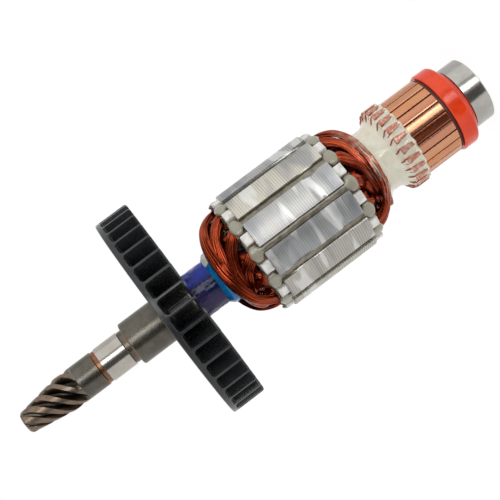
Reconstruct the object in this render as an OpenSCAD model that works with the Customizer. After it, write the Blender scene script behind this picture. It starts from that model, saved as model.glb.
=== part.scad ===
// Armature of a portable power tool's universal motor. It stands on the face of its commutator
// bearing, with the shaft along +Z and the pinion at the top. All sizes are in millimetres.

/* [Bearing] */
// Outside diameter of the commutator-end bearing
bearing_od = 22; // [21:0.5:24]
// Width of the bearing
bearing_w = 7; // [6.5:0.5:8]
// Diameter of one ball
ball_d = 3.969; // [3.5:0.1:4]
// Number of balls
ball_count = 7; // [5:1:7]

/* [Shaft] */
// Diameter of the shaft end inside the bearing
end_d = 8; // [7:0.5:8.5]
// Diameter under the commutator
comm_shaft_d = 10; // [9.5:0.5:11]
// Diameter under the core and its sleeve
core_shaft_d = 12; // [11:0.5:13]
// Diameter of the thick length that carries the fan
fan_shaft_d = 15; // [14:0.5:16]
// Length of the thick part above the fan
thick_len = 13; // [8:1:18]
// Diameter of the seat for the pinion-side bearing
seat_d = 12; // [12:0.5:14]
// Length of the ground bearing seat
seat_len = 8.6; // [8:0.2:12]
// Width of the relief below the seat
relief_w = 1.9; // [1:0.1:3]
// Width of the groove above the seat
groove_w = 1.6; // [1:0.1:2.5]
// Depth of the relief and of the groove
groove_depth = 0.3; // [0.1:0.1:0.6]

/* [Pinion] */
// Number of helical teeth
tooth_count = 6; // [5:1:8]
// Diameter of the pinion blank
pinion_d = 11.9; // [11:0.1:12]
// Diameter at the bottom of the tooth gaps
pinion_root_d = 6.2; // [5.6:0.2:7]
// Length of the pinion from the groove to the tip
pinion_len = 28.1; // [24:0.5:34]
// Plain length of the blank below the teeth
pinion_plain = 7.4; // [4:0.2:9]
// Length of the tapered lead at the tip
pinion_taper_len = 14.6; // [8:0.2:16]
// Diameter at the small end of the taper
pinion_tip_d = 7.3; // [7.2:0.1:9]
// Axial length of one full turn of a tooth, right hand
pinion_lead = 31; // [26:1:40]

/* [Commutator] */
// Number of bars
bar_count = 24; // [20:2:28]
// Diameter of the brush track
comm_d = 27; // [26:0.5:28]
// Length of the brush track
track_len = 13.3; // [10:0.1:15]
// Length of the hook end of a bar
riser_len = 5.6; // [5:0.2:7]
// Width of the gap between two bars
bar_gap = 0.55; // [0.4:0.05:0.7]
// Radial depth of a bar
bar_depth = 4; // [3:0.2:4.2]
// Width of a hook at its root
hook_w = 2; // [1.6:0.1:2.2]
// Thickness of a hook
hook_t = 0.8; // [0.6:0.1:1]
// Room under a hook for the wire
hook_gap = 0.5; // [0.4:0.1:0.8]
// Visible length of the moulding between the ring and the bars
moulding_w = 0.9; // [0.6:0.1:2.4]

/* [Insulating ring] */
// Diameter of the ring
ring_d = 28.5; // [28:0.5:30]
// Width of the ring
ring_w = 5.6; // [4.8:0.2:7]
// Diameter of the lip beside the bearing
lip_d = 23.6; // [23:0.2:25]
// Width of the lip
lip_w = 1.6; // [1.2:0.2:2.4]

/* [Core] */
// Diameter of the laminated core
core_d = 42; // [40:0.5:44]
// Length of the steel laminations
core_len = 31.5; // [26:0.5:40]
// Thickness of each fibre end piece
fibre_t = 3; // [2:0.2:4]
// Diameter over the fibre teeth
fibre_d = 40.8; // [39:0.2:41]
// Width of a tooth between two slots
tooth_w = 3.8; // [3.2:0.1:4]
// Width of a fibre tooth
fibre_tooth_w = 3.6; // [3:0.1:3.8]
// Width of the slot mouth
mouth_w = 2.4; // [1.8:0.1:3]
// Depth of a slot from the tooth face
slot_depth = 9; // [8.8:0.1:9.6]
// Radial thickness of a tooth tip at the slot wall
tip_t = 1.6; // [1.2:0.1:1.8]

/* [Windings] */
// Length between the core's fibre and the hooks
neck_len = 18.2; // [17:0.2:24]
// Rise of the outermost coil's dome over the slot ends
head_rise = 9.8; // [9.2:0.2:10.2]
// Radial height of a coil side at the top of a slot
top_side_h = 2.2; // [1.8:0.1:2.3]
// Radial height of a coil side at the bottom of a slot
bottom_side_h = 2.1; // [1.8:0.1:2.1]
// Thickness of a coil where it passes the shaft
head_t = 0.9; // [0.6:0.05:0.95]
// Thickness of the slot liners
liner_t = 0.25; // [0.15:0.05:0.3]
// Thickness of the slot wedges
wedge_t = 0.7; // [0.5:0.1:1]

/* [Sleeve and resin] */
// Outside diameter of the insulating sleeve
sleeve_d = 15.6; // [15:0.2:16]
// Length of bare sleeve and winding between the core's fibre and the fan
fan_gap = 20.8; // [19:0.2:26]
// Diameter at the waist of the resin neck
waist_d = 22.1; // [21:0.2:24]
// Diameter of a coil lead
lead_d = 0.7; // [0.5:0.1:0.8]
// Diameter of the insulating collar beside the winding
collar_d = 18.4; // [17:0.2:20]
// Width of the insulating collar
collar_w = 1; // [0.6:0.1:1.6]

/* [Fan] */
// Outside diameter of the fan
fan_d = 72; // [64:1:80]
// Width of the fan over vanes and plate
fan_w = 11.7; // [10:0.1:14]
// Thickness of the fan plate
plate_t = 1.5; // [1.2:0.1:2.5]
// Number of vanes
vane_count = 38; // [30:1:42]
// Thickness of a vane
vane_t = 0.85; // [0.7:0.05:1.2]
// Diameter of the circle inside the vanes
vane_eye_d = 26; // [22:1:32]
// Diameter of the fan hub
hub_d = 20; // [18:0.5:21]
// How far the hub face lies below the vane edges
hub_recess = 1.6; // [1:0.1:3]
// Thickness of the spacer washer below the fan hub
washer_t = 0.6; // [0.4:0.1:1]
// Diameter of the spacer washer
washer_d = 18; // [16:0.5:18]

/* [Hidden] */
$fn = 96;
// Small clearances, and how far two joined forms run into each other
fit = 0.05;
seam = 0.01;
rub_gap = 0.35;
// Bearing
pitch_r = (end_d + bearing_od) / 4;
race_r = 0.52 * ball_d;
race_clear = 0.01;
shoulder = 0.18 * ball_d;
inner_land_r = pitch_r - ball_d / 2 + shoulder;
outer_land_r = pitch_r + ball_d / 2 - shoulder;
shield_t = 0.45;
shield_recess = 0.35;
shield_step = shield_recess + shield_t;
shield_r = outer_land_r + 0.7;
cage_half_w = ball_d / 2 + 0.45;
cage_half_t = 0.14 * ball_d;
ring_chamfer = 0.3;
// Heights along the shaft, from the bearing's outer face up
lip_z = bearing_w;
ring_z = lip_z + lip_w;
moulding_z = ring_z + ring_w;
track_z = moulding_z + moulding_w;
riser_z = track_z + track_len;
riser_end_z = riser_z + riser_len;
fibre_low_z = riser_end_z + neck_len;
core_z = fibre_low_z + fibre_t;
core_end_z = core_z + core_len;
fibre_high_z = core_end_z + fibre_t;
vane_z = fibre_high_z + fan_gap;
hub_z = vane_z + hub_recess;
washer_z = hub_z - washer_t;
plate_end_z = vane_z + fan_w;
plate_z = plate_end_z - plate_t;
relief_z = plate_end_z + thick_len;
seat_z = relief_z + relief_w;
groove_z = seat_z + seat_len;
pinion_z = groove_z + groove_w;
tip_z = pinion_z + pinion_len;
shaft_start_z = 0.3;
shoulder_z = riser_end_z + 2;
sleeve_z = shoulder_z + 2;
// Slots
slot_count = 12;
slot_half = 180 / slot_count;
core_r = core_d / 2;
slot_floor = core_r - slot_depth;
slot_roof = core_r - tip_t;
wide_cut_w = 6.3;
wide_cut_depth = 0.9;
short_cut_w = 8;
short_cut_depth = 0.8;
wedge_floor = slot_roof - fit - wedge_t;
liner_roof = wedge_floor - fit;
liner_out = 0.6;
wedge_out = 1;
wedge_rise = 1;
// Coils: six layers of two opposite coils, each spanning five slots
layer_count = 6;
coil_count = 2 * layer_count;
span_slots = 5;
span = span_slots * 2 * slot_half;
top_side_r = liner_roof - liner_t - 0.2 - top_side_h / 2;
bottom_side_r = top_side_r - top_side_h / 2 - 0.7 - bottom_side_h / 2;
side_fill = 0.93;
head_datum = 0.7;
dome_r = 5.2;
dome_reach = top_side_r - dome_r + 0.1;
dome_reach_step = 0.9;
head_rise_step = 1.55;
head_lift = 1;
head_turn_r = sleeve_d / 2 + 2.1;
head_turn_step = 0.25;
head_w = 2.4;
head_w_step = 0.75;
lean = 0.6;
exit_share = 0.16;
head_rings = 12;
head_top = head_datum + head_lift + head_rise + 0.35;
// Commutator
comm_r = comm_d / 2;
bar_pitch = 360 / bar_count;
first_bar = 270 + bar_pitch / 2;
bar_arc = bar_pitch - 2 * asin(bar_gap / comm_d);
bar_foot_r = comm_r - bar_depth;
undercut = 0.6;
hook_r = comm_r + hook_gap + hook_t;
hook_root_t = 1;
hook_len = riser_len - 0.6;
hook_tip_w = 0.7 * hook_w;
// Resin
collar_r = comm_r + hook_gap + 0.3;
waist_z = riser_end_z + 5.4;
flare_reach = 4.55;
flare_share = 8 / 13;
flare_out = flare_share * (collar_r - waist_d / 2);
belly_reach = 3.4;
belly_out = 2.43;
neck_end_z = waist_z + belly_reach;
neck_step = 0.8;
head_shoulder_h = 2.4;
head_side_h = 8;
lead_len = 3.6;
lead_rise = 0.5;
// Pinion
pinion_r = pinion_d / 2;
tip_r = pinion_tip_d / 2;
teeth_z = pinion_z + pinion_plain;
taper_z = tip_z - pinion_taper_len;
tip_chamfer = 0.6;
runout_len = 4;
pinion_rings = 20;
tooth_step = 360 / tooth_count;
teeth_r = pinion_r - 0.03;
teeth_root_depth = 0.5;
first_gap = 270.9;
// Fan
vane_chamfer = 2.2;

function coil_name(i) = str("coil_", i < 10 ? "0" : "", i);
function bar_name(i) = str("commutator_bar_", i < 10 ? "0" : "", i);

// ---------------------------------------------------------------- helpers

// Ring of rectangular section between two radii and two heights
module ring(r_in, r_out, z0, z1) {
    translate([0, 0, z0]) difference() {
        cylinder(h = z1 - z0, r = r_out);
        translate([0, 0, -1]) cylinder(h = z1 - z0 + 2, r = r_in);
    }
}

// Closed tube through rings of equal point count, the last ring joined to the first
module closed_tube(rings) {
    n = len(rings);
    m = len(rings[0]);
    polyhedron(
        points = [for (r = rings) each r],
        faces = [for (i = [0:n - 1], s = [0:m - 1])
            let (j = (i + 1) % n, t = (s + 1) % m)
            each [[i * m + s, j * m + t, i * m + t], [i * m + s, j * m + s, j * m + t]]]);
}

// Solid through rings of equal point count, closed by a flat face at each end
module capped_tube(rings) {
    n = len(rings);
    m = len(rings[0]);
    polyhedron(
        points = [for (r = rings) each r],
        faces = concat(
            [[for (s = [0:m - 1]) s], [for (s = [m - 1:-1:0]) (n - 1) * m + s]],
            [for (i = [0:n - 2], s = [0:m - 1]) let (t = (s + 1) % m)
                each [[i * m + s, (i + 1) * m + t, i * m + t],
                      [i * m + s, (i + 1) * m + s, (i + 1) * m + t]]]));
}

function smooth(x) = let (c = min(1, max(0, x))) c * c * (3 - 2 * c);
function on_circle(r, angle, z) = [r * cos(angle), r * sin(angle), z];

// ---------------------------------------------------------------- shaft

// Radius of the pinion blank at height z
function blank_r(z) =
    z < taper_z ? teeth_r :
    z < tip_z - tip_chamfer
        ? teeth_r - (teeth_r - tip_r) * (z - taper_z) / (pinion_taper_len - tip_chamfer)
        : tip_r - (z - tip_z + tip_chamfer);

// Radius of a tooth gap at angle a from its middle, which rises out of the blank at its start
function gap_r(a, z) =
    let (floor_share = tooth_step * 7 / 60,
         top_share = tooth_step * 20 / 60,
         depth = pow(min(1, max(0, (z - teeth_z) / runout_len)), 0.6),
         root = pinion_r - depth * (pinion_r - pinion_root_d / 2))
    root + (pinion_r - root) * min(1, max(0, (abs(a) - floor_share) / (top_share - floor_share)));

function pinion_ring(z) =
    [for (i = [0:tooth_count - 1], a = [-20, -13.5, -7, 0, 7, 13.5, 20, 30])
        let (local = a * tooth_step / 60,
             turn = first_gap + 360 * (z - teeth_z) / pinion_lead)
        on_circle(min(blank_r(z), gap_r(local, z)), turn + i * tooth_step + local, z)];

// Toothed length, rooted inside the plain blank and a hair smaller than it
module pinion_teeth() {
    step = (tip_z - tip_chamfer - teeth_z) / pinion_rings;
    heights = concat([teeth_z - teeth_root_depth],
        [for (i = [0:pinion_rings]) teeth_z + i * step], [tip_z]);
    capped_tube([for (z = heights) pinion_ring(z)]);
}

module centre_drill(z, up) {
    translate([0, 0, z]) mirror([0, 0, up ? 1 : 0])
        translate([0, 0, -seam]) cylinder(h = 1.6, r1 = 1.2, r2 = 0.3);
}

module shaft() {
    color("#8b837b") difference() {
        union() {
            rotate_extrude() polygon([
                [0, shaft_start_z], [end_d / 2 - 0.5, shaft_start_z],
                [end_d / 2, shaft_start_z + 0.5], [end_d / 2, bearing_w],
                [comm_shaft_d / 2, bearing_w], [comm_shaft_d / 2, shoulder_z],
                [core_shaft_d / 2, shoulder_z], [core_shaft_d / 2, hub_z],
                [fan_shaft_d / 2, hub_z], [fan_shaft_d / 2, relief_z - 0.4],
                [fan_shaft_d / 2 - 0.4, relief_z], [seat_d / 2 - groove_depth, relief_z],
                [seat_d / 2 - groove_depth, seat_z - 0.3], [seat_d / 2, seat_z],
                [seat_d / 2, groove_z], [pinion_r - groove_depth, groove_z],
                [pinion_r - groove_depth, pinion_z - 0.3], [pinion_r, pinion_z],
                [pinion_r, teeth_z], [0, teeth_z]]);
            pinion_teeth();
        }
        centre_drill(shaft_start_z, false);
        centre_drill(tip_z, true);
    }
}

// ---------------------------------------------------------------- core

// Half width of a slot at distance x from the axis, with its walls moved in by inset
function slot_half_w(x, inset) = x * tan(slot_half) - (tooth_w / 2 + inset) / cos(slot_half);

// Slot on the +X side: a round floor, walls parallel to the teeth and a straight roof
module slot_outline(inset, roof) {
    floor_x = slot_floor + inset;
    wall = tooth_w / 2 + inset;
    centre_x = (floor_x - wall) / (1 - sin(slot_half));
    floor_r = centre_x * sin(slot_half) - wall;
    tangent_x = centre_x - floor_r * sin(slot_half);
    low = slot_half_w(tangent_x, inset);
    high = slot_half_w(roof, inset);
    translate([centre_x, 0]) circle(r = floor_r);
    polygon([[tangent_x, -low], [roof, -high], [roof, high], [tangent_x, low]]);
}

module each_slot() {
    for (i = [0:slot_count - 1]) rotate([0, 0, i * 2 * slot_half]) children();
}

// Torus cut that removes depth at one angle and fades to nothing half_span away from it
module balance_cut(z, width, depth, angle, half_span) {
    cutter_r = (width * width / 4 + depth * depth) / (2 * depth);
    offset_r = depth / (1 - cos(half_span));
    path_r = core_r - depth + cutter_r + offset_r;
    rotate([0, 0, angle]) translate([-offset_r, 0, z])
        rotate([0, 0, -half_span]) rotate_extrude(angle = 2 * half_span)
            translate([path_r, 0]) circle(r = cutter_r);
}

module core_stack() {
    color("#b9b9b8") difference() {
        translate([0, 0, core_z]) linear_extrude(core_len) difference() {
            circle(r = core_r);
            circle(d = sleeve_d);
            each_slot() slot_outline(0, slot_roof);
            each_slot() translate([slot_roof - 0.5, -mouth_w / 2]) square([core_r, mouth_w]);
        }
        balance_cut(core_z + 0.2 * core_len, wide_cut_w, wide_cut_depth, 290, 66);
        balance_cut(core_z + 0.72 * core_len, short_cut_w, short_cut_depth, 238, 20);
    }
}

module end_fibre(z) {
    translate([0, 0, z]) linear_extrude(fibre_t) difference() {
        union() {
            circle(r = slot_floor);
            intersection() {
                circle(d = fibre_d);
                each_slot() rotate(slot_half) translate([0, -fibre_tooth_w / 2])
                    square([fibre_d, fibre_tooth_w]);
            }
        }
        circle(d = sleeve_d);
    }
}

module end_fibre_commutator_side() { color("#cbc8c0") end_fibre(fibre_low_z); }

module end_fibre_fan_side() { color("#cbc8c0") end_fibre(core_end_z); }

module slot_liners() {
    color("#9a7b5e") translate([0, 0, fibre_low_z - liner_out])
        linear_extrude(fibre_high_z - fibre_low_z + 2 * liner_out) each_slot() difference() {
            slot_outline(fit, liner_roof);
            slot_outline(fit + liner_t, liner_roof - liner_t);
        }
}

// Outline of a wedge: a flat strip under the tooth tips with a rib that fills the slot mouth
module wedge_section() {
    low = slot_half_w(wedge_floor, fit);
    high = slot_half_w(slot_roof - fit, fit);
    rib = mouth_w / 2 - fit;
    polygon([[wedge_floor, -low], [slot_roof - fit, -high], [slot_roof - fit, -rib],
        [core_r - wedge_rise, -rib], [core_r - wedge_rise, rib], [slot_roof - fit, rib],
        [slot_roof - fit, high], [wedge_floor, low]]);
}

module slot_wedges() {
    z0 = fibre_low_z - wedge_out;
    z1 = fibre_high_z + wedge_out;
    round_r = 1.6;
    half = slot_half_w(slot_roof, 0);
    color("#8f8970") each_slot() intersection() {
        translate([0, 0, z0]) linear_extrude(z1 - z0) wedge_section();
        rotate([90, 0, 90]) linear_extrude(core_r) union() {
            translate([-half, z0 + round_r]) square([2 * half, z1 - z0 - 2 * round_r]);
            translate([round_r - half, z0]) square([2 * (half - round_r), z1 - z0]);
            for (y = [round_r - half, half - round_r], z = [z0 + round_r, z1 - round_r])
                translate([y, z]) circle(r = round_r);
        }
    }
}

module insulating_sleeve() {
    color("#2426a0") ring(core_shaft_d / 2, sleeve_d / 2, sleeve_z, washer_z);
}

module insulating_collar() {
    z = fibre_high_z + head_top + 0.1;
    color("#d8e6ee") ring(sleeve_d / 2, collar_d / 2, z, z + collar_w);
}

// ---------------------------------------------------------------- coils

// Place on the head of a coil of layer k at share w of its way from start slot to end slot:
// [radius, height over the slot end, angle, normal in the meridian plane]
function head_place(k, start, r_start, r_end, w) =
    let (reach = dome_reach - dome_reach_step * (layer_count - k),
         rise = head_rise - head_rise_step * (layer_count - k),
         turn_r = head_turn_r + head_turn_step * (k - 1),
         climb = acos((turn_r - dome_r) / reach) * sin(180 * w),
         from_start = 1 - smooth(w / exit_share),
         from_end = 1 - smooth((1 - w) / exit_share),
         r = dome_r + reach * cos(climb)
             + (r_start - dome_r - reach) * from_start + (r_end - dome_r - reach) * from_end,
         z = rise * sin(climb) + head_lift * min(1, 6 * min(w, 1 - w)),
         angle = start - span * (w - lean * sin(360 * w) / 360 * 180 / PI),
         normal = [rise * cos(climb), reach * sin(climb)])
    [r, z, angle, normal / norm(normal)];

// Section of a coil: width w and thickness h around c, across the direction t
function coil_section(c, t, normal, w, h) =
    let (along = t / norm(t),
         up_raw = normal - along * (along * normal),
         up = up_raw / norm(up_raw),
         side = cross(up, along),
         x = w / 2,
         y = h / 2,
         ch = 0.28 * min(w, h))
    [for (q = [[-x + ch, -y], [x - ch, -y], [x, -y + ch], [x, y - ch],
               [x - ch, y], [-x + ch, y], [-x, y - ch], [-x, -y + ch]])
        c + side * q[0] + up * q[1]];

// Rings of a coil: over the fan-side head, down the end slot, back over the other head
function coil_rings(k, opposite) =
    let (start = 180 * opposite - 2 * slot_half * (layer_count - k),
         start_low = k == 1,
         end_high = k == layer_count,
         r_start = start_low ? bottom_side_r : top_side_r,
         r_end = end_high ? top_side_r : bottom_side_r,
         h_start = start_low ? bottom_side_h : top_side_h,
         h_end = end_high ? top_side_h : bottom_side_h,
         inner = fit + liner_t,
         w_start = 2 * side_fill * slot_half_w(r_start - h_start / 2, inner),
         w_end = 2 * side_fill * slot_half_w(r_end - h_end / 2, inner),
         w_head = head_w + head_w_step * (k - 1),
         middle = (fibre_low_z + fibre_high_z) / 2,
         half_len = (fibre_high_z - fibre_low_z) / 2 + head_datum,
         head = [for (i = [0:head_rings])
             let (w = i / head_rings,
                  near_start = w <= 0.5,
                  away = near_start ? w : 1 - w,
                  p = head_place(k, start, r_start, r_end, w),
                  w0 = near_start ? w_start : w_end,
                  h0 = near_start ? h_start : h_end)
             [on_circle(p[0], p[2], half_len + p[1]),
              [p[3][0] * cos(p[2]), p[3][0] * sin(p[2]), p[3][1]],
              w0 + (w_head - w0) * smooth(2 * away),
              h0 + (head_t - h0) * smooth(5 * away)]],
         n = head_rings + 1,
         flip = [1, 1, -1],
         loop = concat(head, [for (i = [n - 1:-1:0])
             let (q = head[i])
             [[q[0].x, q[0].y, -q[0].z], [q[1].x, q[1].y, -q[1].z], q[2], q[3]]]),
         m = 2 * n)
    [for (i = [0:m - 1])
        let (q = loop[i],
             direction = loop[(i + 1) % m][0] - loop[(i + m - 1) % m][0])
        [for (v = coil_section(q[0], direction, q[1], q[2], q[3])) v + [0, 0, middle]]];

module coil(i) {
    k = ceil(i / 2);
    color("#b4451f") closed_tube(coil_rings(k, (i + 1) % 2));
}

// ---------------------------------------------------------------- commutator

// Copper of one bar below its hook, centred on the +X side
module bar_body() {
    rotate([0, 0, -bar_arc / 2]) rotate_extrude(angle = bar_arc) polygon([
        [bar_foot_r, track_z + 1.2], [bar_foot_r + 1.2, track_z], [comm_r - 0.3, track_z],
        [comm_r, track_z + 0.3], [comm_r, riser_end_z], [bar_foot_r + 1.2, riser_end_z],
        [bar_foot_r, riser_end_z - 1.2]]);
}

// Hook bent back over the wire, tapering to a round tip
module hook() {
    hook_start = riser_end_z - hook_len;
    tip_half = hook_tip_w / 2;
    intersection() {
        rotate([90, 0, 0]) translate([0, 0, -hook_w]) linear_extrude(2 * hook_w) polygon([
            [comm_r - 0.2, riser_end_z], [comm_r - 0.2, riser_end_z - hook_root_t],
            [comm_r + hook_gap, riser_end_z - hook_root_t], [comm_r + hook_gap, hook_start],
            [hook_r - 0.2, hook_start], [hook_r, hook_start + 0.6],
            [hook_r, riser_end_z - 0.5], [hook_r - 0.5, riser_end_z]]);
        rotate([90, 0, 90]) linear_extrude(2 * comm_r) union() {
            polygon([[-hook_w / 2, riser_end_z], [-hook_w / 2, riser_end_z - hook_root_t - 0.3],
                [-tip_half, hook_start + tip_half], [tip_half, hook_start + tip_half],
                [hook_w / 2, riser_end_z - hook_root_t - 0.3], [hook_w / 2, riser_end_z]]);
            translate([0, hook_start + tip_half]) circle(r = tip_half);
        }
    }
}

module at_bar(i) { rotate([0, 0, first_bar + bar_pitch * (i - 1)]) children(); }

module commutator_bar(i) {
    color("#c98a5e") at_bar(i) union() {
        bar_body();
        hook();
    }
}

module commutator_hub() {
    color("#5b3a2c") difference() {
        union() {
            ring(comm_shaft_d / 2, comm_r - undercut, moulding_z, riser_end_z);
            ring(comm_shaft_d / 2, bar_foot_r, riser_end_z - 1, riser_end_z + 1);
        }
        for (i = [1:bar_count]) at_bar(i) bar_body();
    }
}

// Lead of one bar, leaning from beside its hook down into the resin
module lead(i) {
    at_bar(i) rotate([0, 0, -6])
        translate([comm_r + hook_gap, 0, riser_end_z + lead_rise])
        rotate([0, 0, -14]) rotate([0, -50, 0]) cylinder(h = lead_len, d = lead_d, $fn = 24);
}

module coil_leads() {
    color("#8a2f18") for (i = [1:bar_count]) lead(i);
}

// Radius of the resin neck at height z: a waist that flares to the hooks and to the winding
function neck_r(z) =
    z < waist_z
        ? min(collar_r, waist_d / 2 + flare_out * pow((waist_z - z) / flare_reach, 2.8))
        : waist_d / 2 + belly_out * pow((z - waist_z) / belly_reach, 2);

// Section of the room that the winding head takes, with a small clearance
module head_room_section() {
    top = fibre_low_z - head_top - 0.1;
    polygon([[0, top], [head_turn_r + 0.2, top], [dome_r + 0.78 * dome_reach, top + head_shoulder_h],
        [top_side_r + 1, top + head_side_h], [core_r, fibre_low_z], [0, fibre_low_z]]);
}

module resin_neck() {
    neck_points = [for (z = [riser_end_z - 0.2:neck_step:neck_end_z]) [neck_r(z), z]];
    color("#e6e1c8") difference() {
        rotate_extrude() polygon(concat(
            [[comm_r - 0.05, riser_z + 0.2], [collar_r, riser_z + 1]],
            neck_points,
            [[neck_r(neck_end_z), neck_end_z], [comm_shaft_d / 2, neck_end_z],
             [comm_shaft_d / 2, riser_end_z + 1], [bar_foot_r, riser_end_z + 1],
             [bar_foot_r, riser_end_z], [comm_r - 0.05, riser_end_z]]));
        rotate_extrude() head_room_section();
        translate([0, 0, shoulder_z]) cylinder(h = core_len, d = core_shaft_d);
        translate([0, 0, sleeve_z]) cylinder(h = core_len, d = sleeve_d);
        for (i = [1:bar_count]) at_bar(i) bar_body();
        for (i = [1:bar_count]) at_bar(i) hook();
        coil_leads();
    }
}

module insulating_ring() {
    r = ring_d / 2;
    lip_r = lip_d / 2;
    color("#e2401c") rotate_extrude() polygon(concat(
        [[comm_shaft_d / 2, lip_z], [inner_land_r - 0.3, lip_z],
         [inner_land_r, lip_z + rub_gap], [lip_r - 0.4, lip_z + rub_gap],
         [lip_r, lip_z + rub_gap + 0.4], [lip_r, ring_z - 0.3], [lip_r + 0.3, ring_z]],
        [for (a = [0:15:90]) [r - 1.2 + 1.2 * sin(a), ring_z + 1.2 - 1.2 * cos(a)]],
        [[r, moulding_z - 0.5], [r - 0.5, moulding_z], [comm_r + 0.1, moulding_z],
         [comm_r - undercut, moulding_z - 0.6], [comm_r - undercut - 1, moulding_z],
         [comm_shaft_d / 2, moulding_z]]));
}

// ---------------------------------------------------------------- bearing

module bearing_inner_ring() {
    r = end_d / 2;
    color("#c9ccd0") rotate_extrude() difference() {
        polygon([[r, ring_chamfer], [r + ring_chamfer, 0], [inner_land_r, 0],
            [inner_land_r, bearing_w], [r + ring_chamfer, bearing_w],
            [r, bearing_w - ring_chamfer]]);
        translate([pitch_r - ball_d / 2 - race_clear + race_r, bearing_w / 2]) circle(r = race_r);
    }
}

module bearing_outer_ring() {
    r = bearing_od / 2;
    color("#c9ccd0") rotate_extrude() difference() {
        polygon([[shield_r, 0], [r - ring_chamfer, 0], [r, ring_chamfer],
            [r, bearing_w - ring_chamfer], [r - ring_chamfer, bearing_w], [shield_r, bearing_w],
            [shield_r, bearing_w - shield_step], [outer_land_r, bearing_w - shield_step],
            [outer_land_r, shield_step], [shield_r, shield_step]]);
        translate([pitch_r + ball_d / 2 + race_clear - race_r, bearing_w / 2]) circle(r = race_r);
    }
}

module each_ball() {
    for (i = [0:ball_count - 1]) rotate([0, 0, i * 360 / ball_count])
        translate([pitch_r, 0, bearing_w / 2]) children();
}

module bearing_cage() {
    color("#a8a090") difference() {
        ring(pitch_r - cage_half_t, pitch_r + cage_half_t,
            bearing_w / 2 - cage_half_w, bearing_w / 2 + cage_half_w);
        each_ball() sphere(r = ball_d / 2 + 0.1);
    }
}

module bearing_balls() { color("#dcdfe2") each_ball() sphere(d = ball_d); }

module bearing_shield(z) { ring(inner_land_r + 0.2, shield_r, z, z + shield_t); }

module bearing_shield_outer() { color("#b4b7ba") bearing_shield(shield_recess); }

module bearing_shield_inner() { color("#b4b7ba") bearing_shield(bearing_w - shield_step); }

// ---------------------------------------------------------------- fan

module fan_vanes() {
    linear_extrude(plate_z - vane_z) intersection() {
        circle(d = fan_d);
        for (i = [0:vane_count - 1]) rotate(272.4 + i * 360 / vane_count)
            translate([vane_eye_d / 2, -vane_t / 2]) square([fan_d, vane_t]);
    }
}

module fan() {
    color("#17191b") difference() {
        union() {
            translate([0, 0, vane_z]) fan_vanes();
            ring(fan_shaft_d / 2, fan_d / 2, plate_z, plate_end_z);
            ring(fan_shaft_d / 2, hub_d / 2, hub_z, plate_z);
        }
        translate([0, 0, vane_z - seam]) cylinder(
            h = vane_chamfer, r1 = vane_eye_d / 2 + vane_chamfer, r2 = vane_eye_d / 2);
    }
}

module fan_spacer_washer() {
    color("#b8ad96") ring(core_shaft_d / 2, washer_d / 2, washer_z, hub_z);
}

// ---------------------------------------------------------------- nodes

shaft();
insulating_sleeve();
core_stack();
end_fibre_commutator_side();
end_fibre_fan_side();
slot_liners();
slot_wedges();
insulating_collar();
resin_neck();
coil_leads();
commutator_hub();
insulating_ring();
bearing_inner_ring();
bearing_outer_ring();
bearing_cage();
bearing_balls();
bearing_shield_inner();
bearing_shield_outer();
fan();
fan_spacer_washer();
for (i = [1:coil_count]) coil(i);
for (i = [1:bar_count]) commutator_bar(i);
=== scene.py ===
"""Looks of a portable power tool's motor armature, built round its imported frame.

The armature stands on its commutator bearing with the shaft along +Z. Sizes in this file are
in millimetres and degrees until a mesh is written, which is in metres as the frame is.
"""

import logging
import math
from dataclasses import dataclass, field
from enum import Enum
from functools import lru_cache
from typing import Callable, Iterable, Optional, Sequence, Union

import bmesh
import bpy
from mathutils import Matrix, Vector, noise


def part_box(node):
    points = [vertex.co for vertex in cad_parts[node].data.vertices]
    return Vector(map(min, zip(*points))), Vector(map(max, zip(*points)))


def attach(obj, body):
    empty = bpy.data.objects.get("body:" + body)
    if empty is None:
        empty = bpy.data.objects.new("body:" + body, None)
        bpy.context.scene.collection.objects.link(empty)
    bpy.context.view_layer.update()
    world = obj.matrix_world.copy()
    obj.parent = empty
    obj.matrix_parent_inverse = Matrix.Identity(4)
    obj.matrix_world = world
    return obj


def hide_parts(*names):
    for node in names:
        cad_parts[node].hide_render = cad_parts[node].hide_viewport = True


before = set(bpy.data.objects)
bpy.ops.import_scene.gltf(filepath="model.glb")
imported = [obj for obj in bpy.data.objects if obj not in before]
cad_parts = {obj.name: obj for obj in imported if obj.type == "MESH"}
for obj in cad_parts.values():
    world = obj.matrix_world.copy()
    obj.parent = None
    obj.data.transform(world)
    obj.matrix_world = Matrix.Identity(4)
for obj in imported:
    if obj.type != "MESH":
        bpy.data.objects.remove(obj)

MM = 0.001
LOG = logging.getLogger("armature")
Point = tuple[float, float]
Place = tuple[float, float, float]
Face = tuple[int, ...]
Socket = bpy.types.NodeSocket
Value = Union[float, int, str, Sequence[float], Socket]


class Body(Enum):
    """The bodies of the frame that pieces ride on."""

    ROTOR = "rotor"
    OUTER_RING = "bearing_outer"


# ---------------------------------------------------------------- node helpers


def linear(code: str) -> tuple[float, float, float, float]:
    """Turns an sRGB hex colour to the linear values that a socket takes.

    Args:
        code: Six hex digits after a #.

    Returns:
        Red, green, blue and an alpha of 1.
    """
    srgb = [int(code[i : i + 2], 16) / 255 for i in (1, 3, 5)]
    red, green, blue = (
        c / 12.92 if c <= 0.04045 else ((c + 0.055) / 1.055) ** 2.4 for c in srgb
    )
    return red, green, blue, 1.0


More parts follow.
